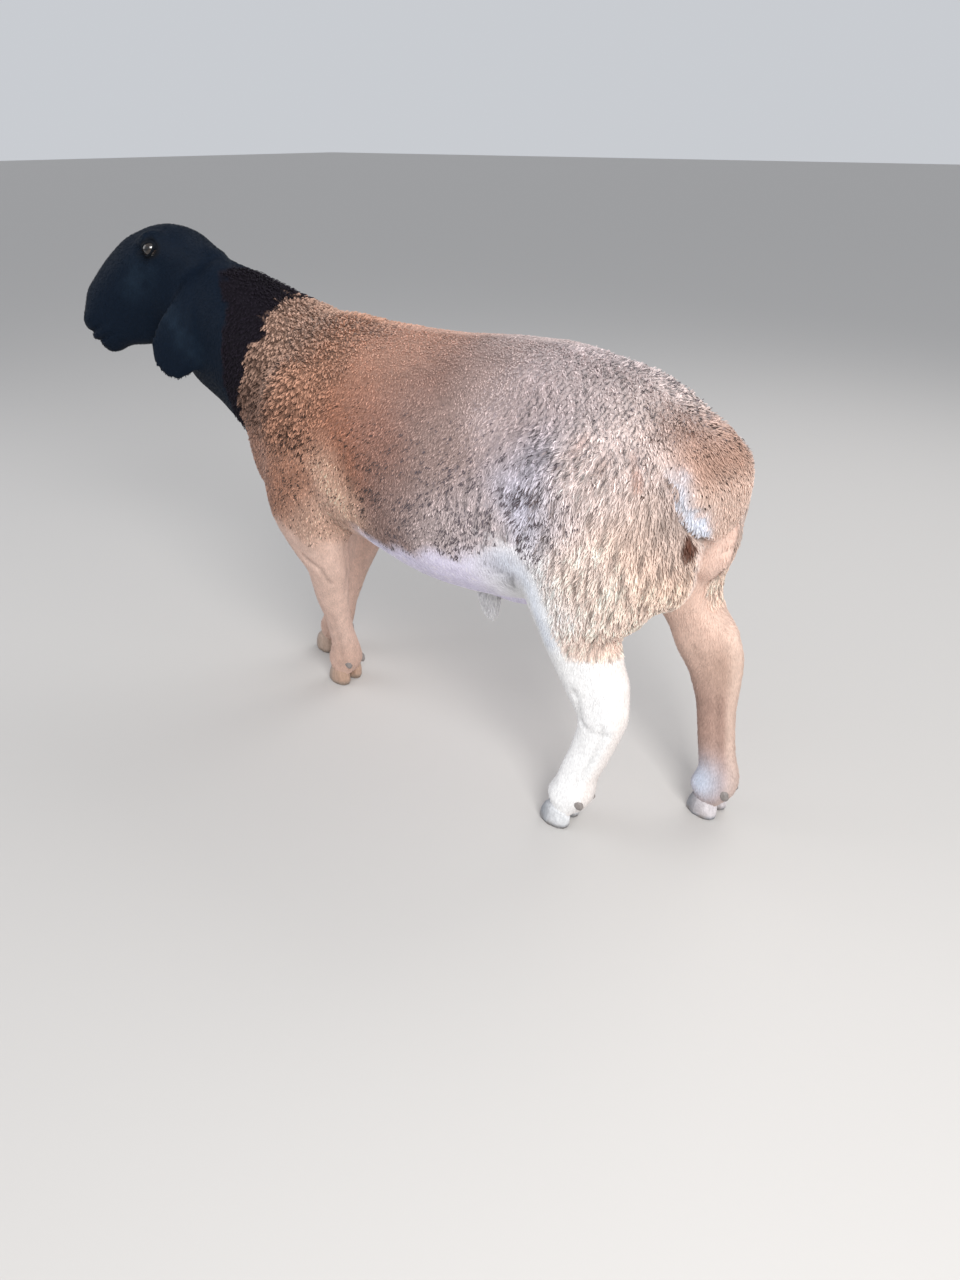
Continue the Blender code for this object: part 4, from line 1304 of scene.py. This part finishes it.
def barycentric(at, triangle):
    """The shares of each triangle's three corners in the point on it."""
    a, b, c = triangle[:, 0], triangle[:, 1], triangle[:, 2]
    first, second, third = b - a, c - a, at - a
    d00, d01, d11 = (first * first).sum(1), (first * second).sum(1), (second * second).sum(1)
    d20, d21 = (third * first).sum(1), (third * second).sum(1)
    scale = np.maximum(d00 * d11 - d01 * d01, 1e-20)
    v, w = (d11 * d20 - d01 * d21) / scale, (d00 * d21 - d01 * d20) / scale
    return np.clip(np.stack((1 - v - w, v, w), 1), 0, 1)


weights = barycentric(hit_at, chart_points[chart_faces[hit_face]])
root_uv = (chart_uv[hit_face] * weights[:, :, None]).sum(1)
print("map reaches from", root_uv.min(0).round(2), "to", root_uv.max(0).round(2))

# %% [markdown]
# ## Growing the locks
# Now each root gets its copy of the template. The copy's axis leaves the skin, bends over along the lie
# of the coat and is drawn towards the middle of its clump, and its girth follows the template. The
# colour is the skin's own marking at the root, darker at the bottom and in the gaps as painted shade
# mixed with dirt. Locks in the wrinkles are lifted and shaded point by point, and some locks hold a
# speck of dirt.

# %% Growing the locks
HEIGHTS = np.array((0.0, 0.25, 0.5, 0.75, 1.0))
RISE = np.array((-0.1, 0.62, 0.92, 1.0, 0.86))  # of a lock's axis above the skin, as a share of its height
BROWN_SPECK, GREY_SPECK = (0.05, 0.027, 0.02), (0.125, 0.1, 0.115)
# Where specks of dirt are: how likely, and the places along, their height, reach and weight.
BARREL_SPECKS, FEW_SPECKS = 0.36, 0.05
SPECKLED = (
    (0.34, ((0.27, 0.47, 0.06, 1), (0.35, 0.495, 0.05, 1))),
    (0.62, ((-0.088, 0.485, 0.045, 1), (-0.115, 0.405, 0.03, 0.8))),
    (0.45, ((0.045, 0.47, 0.045, 1),)),
    (0.24, ((0.53, 0.545, 0.035, 1), (0.5, 0.59, 0.05, 0.9), (0.43, 0.62, 0.05, 0.7))),
)


def speck_chance(at):
    _, along, high = at.T
    low_barrel = step(high, 0.55, 0.46) * step(along, 0.03, 0.08) * step(along, 0.36, 0.3)
    chance = BARREL_SPECKS * low_barrel
    for likely, places in SPECKLED:
        spots = (weight * spot(at * (0, 1, 1), (0, y, z), reach) for y, z, reach, weight in places)
        chance = chance + likely * sum(spots)
    everywhere = FEW_SPECKS * step(-along, -0.3, -0.2) * step(high, 0.62, 0.54)
    return everywhere + chance * step(waves(at, 0.018, 41), -0.9, 0.9)


# How much the locks of a kind differ in lightness from their neighbours.
EVEN = 0.04
UNEVEN = {"barrel": 0.23, "flank": 0.13, "loin": 0.08, "thigh": 0.1, "pebble": 0.12, "tail": 0.1}
root_colour = coat_colour(roots, flat_normals, root_parts)
root_bare = bare_share(roots, flat_normals, root_parts)
root_depth = coat_depth(roots, flat_normals, root_parts)
clean = (behind_band(roots) < 0) | (root_bare >= 0.7) | (groove(roots, BLUE_EDGE, 0.014) >= 0.5)
speck_luck = 0.45 * random.uniform(size=len(roots)) + 0.55 * step(waves(roots, 0.0042, 42), -1.6, 1.6)
speck_luck = np.argsort(np.argsort(speck_luck)) / len(roots)  # every value is now as likely as any other
speck = (speck_luck < speck_chance(roots)) & ~clean
luck = random.normal(0, 1, (len(roots), 8))
uneven = np.array([UNEVEN.get(name, EVEN) for name in KIND_NAMES])[root_kinds]
root_colour *= (1 + uneven * luck[:, 0] + 0.05 * clump_luck)[:, None]
greyer = step(roots[:, 1], 0.03, 0.16) * (roots[:, 1] < 0.45)
speck_colour = toward(np.tile(BROWN_SPECK, (len(roots), 1)), GREY_SPECK, greyer)
root_colour = np.where(speck[:, None], speck_colour, np.clip(root_colour, 0.002, 0.95))


# How round the locks of a kind are shaded, and how dark the fine partings are that run over them.
PLAIN_ROUNDNESS = 0.5
ROUNDNESS = {"pebble": 1.2, "loin": 0.4, "thigh": 0.7, "flank": 0.7, "band": 1.0}
WRINKLED = {"thigh": 0.46, "flank": 0.45, "loin": 0.15}
VALLEY_SHADE, RIDGE_LIGHT = 0.62, 0.18  # how dark the wrinkles are in their valleys, how light on top


def grown(kind, which):
    """Points, polygons, colours, map places and soft normals of these roots' locks of one kind."""
    _, length, width, thickness, height, _, _, curl, gap_share, gap_colour, template = KINDS[kind]
    length, width, thickness, curl = (v / 1000 for v in (length, width, thickness, curl))
    shape, polygons = template
    across, thick, along = shape.T
    count, points_each = len(which), len(shape)

    def own(values):
        """One number of each root, shaped so that it scales that root's lock."""
        return values[which][:, None, None]

    n, f = root_normals[which][:, None, :], lie[which][:, None, :]
    b = np.cross(n, f)
    s = along[None, :, None]
    size = 1 + 0.16 * own(luck[:, 1])
    spotted, depth_here = own(speck), own(root_depth)
    tall = (0.45 + 0.62 * own(crest) + 0.12 * own(clump_luck)) * height * depth_here
    tall = tall * (1 + 0.3 * spotted)
    fullness_here = np.minimum(depth_here / WOOL_DEPTH, 1)
    rise = np.interp(along, HEIGHTS, RISE)[None, :, None]
    sway = 0.2 * own(luck[:, 2])
    turn = np.sin(along * 5.5 + luck[which, 3][:, None] * 3.0)[:, :, None] * s
    body = length * size * (1 - 0.45 * spotted) * (0.55 + 0.45 * fullness_here)
    axis = f * s * body + n * rise * tall + b * (s * sway * body + turn * curl)
    made = roots[which][:, None, :] + (axis + draw[which][:, None, :] * s**1.5)
    girth = size * (0.6 + 0.4 * fullness_here) if kind == "pebble" else size
    made = made + b * (across * width / 2)[None, :, None] * girth
    made = made + n * (thick * thickness / 2)[None, :, None] * girth
    shade = np.ones((count, points_each))
    if kind in WRINKLED:
        each_point = made.reshape(-1, 3)
        fold, open_lock = (rule(each_point).reshape(count, points_each) for rule in (ridges, partings))
        lift = np.maximum(fold, 0) - np.maximum(ridge[which], 0)[:, None]
        made = made + n * (RIDGE_HEIGHT * lift)[:, :, None]
        shade = 1 - VALLEY_SHADE * np.clip(-fold, 0, 1) ** 1.2 + RIDGE_LIGHT * np.clip(fold, 0, 1)
        shade = shade * (1 - WRINKLED[kind] * (1 - open_lock))
    # Painted shade mixed with dirt: low on each lock and in the gaps between clumps the colour goes toward
    # the kind's gap colour.
    light = np.clip(crest[which][:, None] * 0.9 + 0.45 * along[None, :] ** 0.8 - 0.1, 0, 1)
    gap = gap_share * (1 - light)[:, :, None] * (1 - own(root_bare))
    colours = (root_colour[which][:, None, :] * (1 - gap) + np.array(gap_colour) * gap) * shade[:, :, None]
    places = root_uv[which][:, None, :] + np.stack((across * 0.5, along - 0.5), 1)[None] * PATCH
    flat = np.concatenate([np.array(p) for p in polygons])
    sizes_each = np.array([len(p) for p in polygons])
    loops = (flat[None, :] + (np.arange(count) * points_each)[:, None]).ravel()
    outward = unit(b * across[None, :, None] + n * thick[None, :, None])
    facing = unit(n + ROUNDNESS.get(kind, PLAIN_ROUNDNESS) * outward)
    arrays = (made, colours, places, facing)
    made, colours, places, facing = (a.reshape(-1, a.shape[-1]) for a in arrays)
    return made, loops, np.tile(sizes_each, count), colours, places, facing


LEAST_FACING = 0.12  # a soft normal that faces its face less than this is not used


def coat_mesh(name, batches):
    """One mesh of many locks, with their colours, their places on the map and their soft shading."""
    firsts = np.cumsum([0] + [len(b[0]) for b in batches])
    loops = np.concatenate([b[1] + first for b, first in zip(batches, firsts)])
    columns = [np.concatenate(column) for column in zip(*batches)]
    made, _, sizes_each, colours, places, facing = columns
    mesh = bpy.data.meshes.new(name)
    mesh.vertices.add(len(made))
    mesh.vertices.foreach_set("co", made.astype(np.float32).ravel())
    mesh.loops.add(len(loops))
    mesh.loops.foreach_set("vertex_index", loops.astype(np.int32))
    mesh.polygons.add(len(sizes_each))
    starts = np.concatenate(([0], np.cumsum(sizes_each)[:-1])).astype(np.int32)
    mesh.polygons.foreach_set("loop_start", starts)
    mesh.update(calc_edges=True)
    mesh.uv_layers.new(name="OFBake").data.foreach_set("uv", places[loops].astype(np.float32).ravel())
    write_hue(mesh, colours)
    mesh.shade_smooth()
    flats = np.repeat(read(mesh.polygons, "normal"), sizes_each, axis=0)
    soft = facing[loops]
    turned_away = (soft * flats).sum(1)[:, None] <= LEAST_FACING
    mesh.normals_split_custom_set(np.where(turned_away, flats, soft))
    obj = bpy.data.objects.new(name, mesh)
    add_to_scene(obj)
    return obj


# %% [markdown]
# ## The coat's finish
# The locks carry their colour as an attribute, and the skin's own recipe gives it fine fibres, as colour
# and as bump. Wool is rough with a soft sheen, and the black hair of the head is smoother. The numbers
# are roughness, sheen, grain, bump, how much the grain varies the colour, and shine.

# %% The coat's finish
wool_material = hide_material("wool_fibre", 0.92, 0.16, 520.0, 0.45, 0.22)
black_material = hide_material("black_hair", 0.6, 0.0, 900.0, 0.3, 0.2, 0.12)
dark_material = hide_material("dark_wool", 0.88, 0.03, 700.0, 0.45, 0.25, 0.1)
white_material = hide_material("white_hair", 0.6, 0.12, 800.0, 0.35, 0.08)

# %% [markdown]
# ## The coat in pieces
# A coat of one mesh would be too heavy to edit, so it is parted by kind, and the large kinds of wool by
# side too. Each piece gets its finish.

# %% The coat in pieces
# Of each piece: its kinds, its side (1 left, -1 right, 0 both), its slot and its finish.
COAT = {
    "coat_head": (("face", "ear"), 0, "black_hair", black_material),
    "coat_neck_band": (("band",), 0, "brown_wool", dark_material),
}
for place, kind in {"neck": "pebble", "barrel": "barrel", "loin": "loin", "thigh": "thigh"}.items():
    COAT["coat_" + place + "_left"] = ((kind,), 1, "wool", wool_material)
    COAT["coat_" + place + "_right"] = ((kind,), -1, "wool", wool_material)
COAT["coat_flank"] = (("flank", "tail"), 0, "wool", wool_material)
COAT["coat_belly"] = (("belly", "sheath"), 0, "white_hair", white_material)
COAT["coat_legs"] = (("leg",), 0, "white_hair", white_material)

total_triangles = 0
for name, (kinds, side, slot_name, material) in COAT.items():
    here = (np.sign(roots[:, 0] + 1e-9) == side) | (side == 0)
    batches = [grown(k, np.flatnonzero(here & (root_kinds == KIND_NAMES.index(k)))) for k in kinds]
    piece = coat_mesh(name, batches)
    piece.data.materials.append(material)
    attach(piece, "root")
    count = sum(int((b[2] - 2).sum()) for b in batches)
    total_triangles += count
    print(name, count, "triangles")
print("the coat has", total_triangles, "triangles")

# %% [markdown]
# ## Sizes
# The span of the dressed animal is printed. The dressed animal has to stay inside the
# solids' box.

# %% Sizes
low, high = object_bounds()
print("the dressed animal spans", [round(v, 3) for v in high - low], "m")
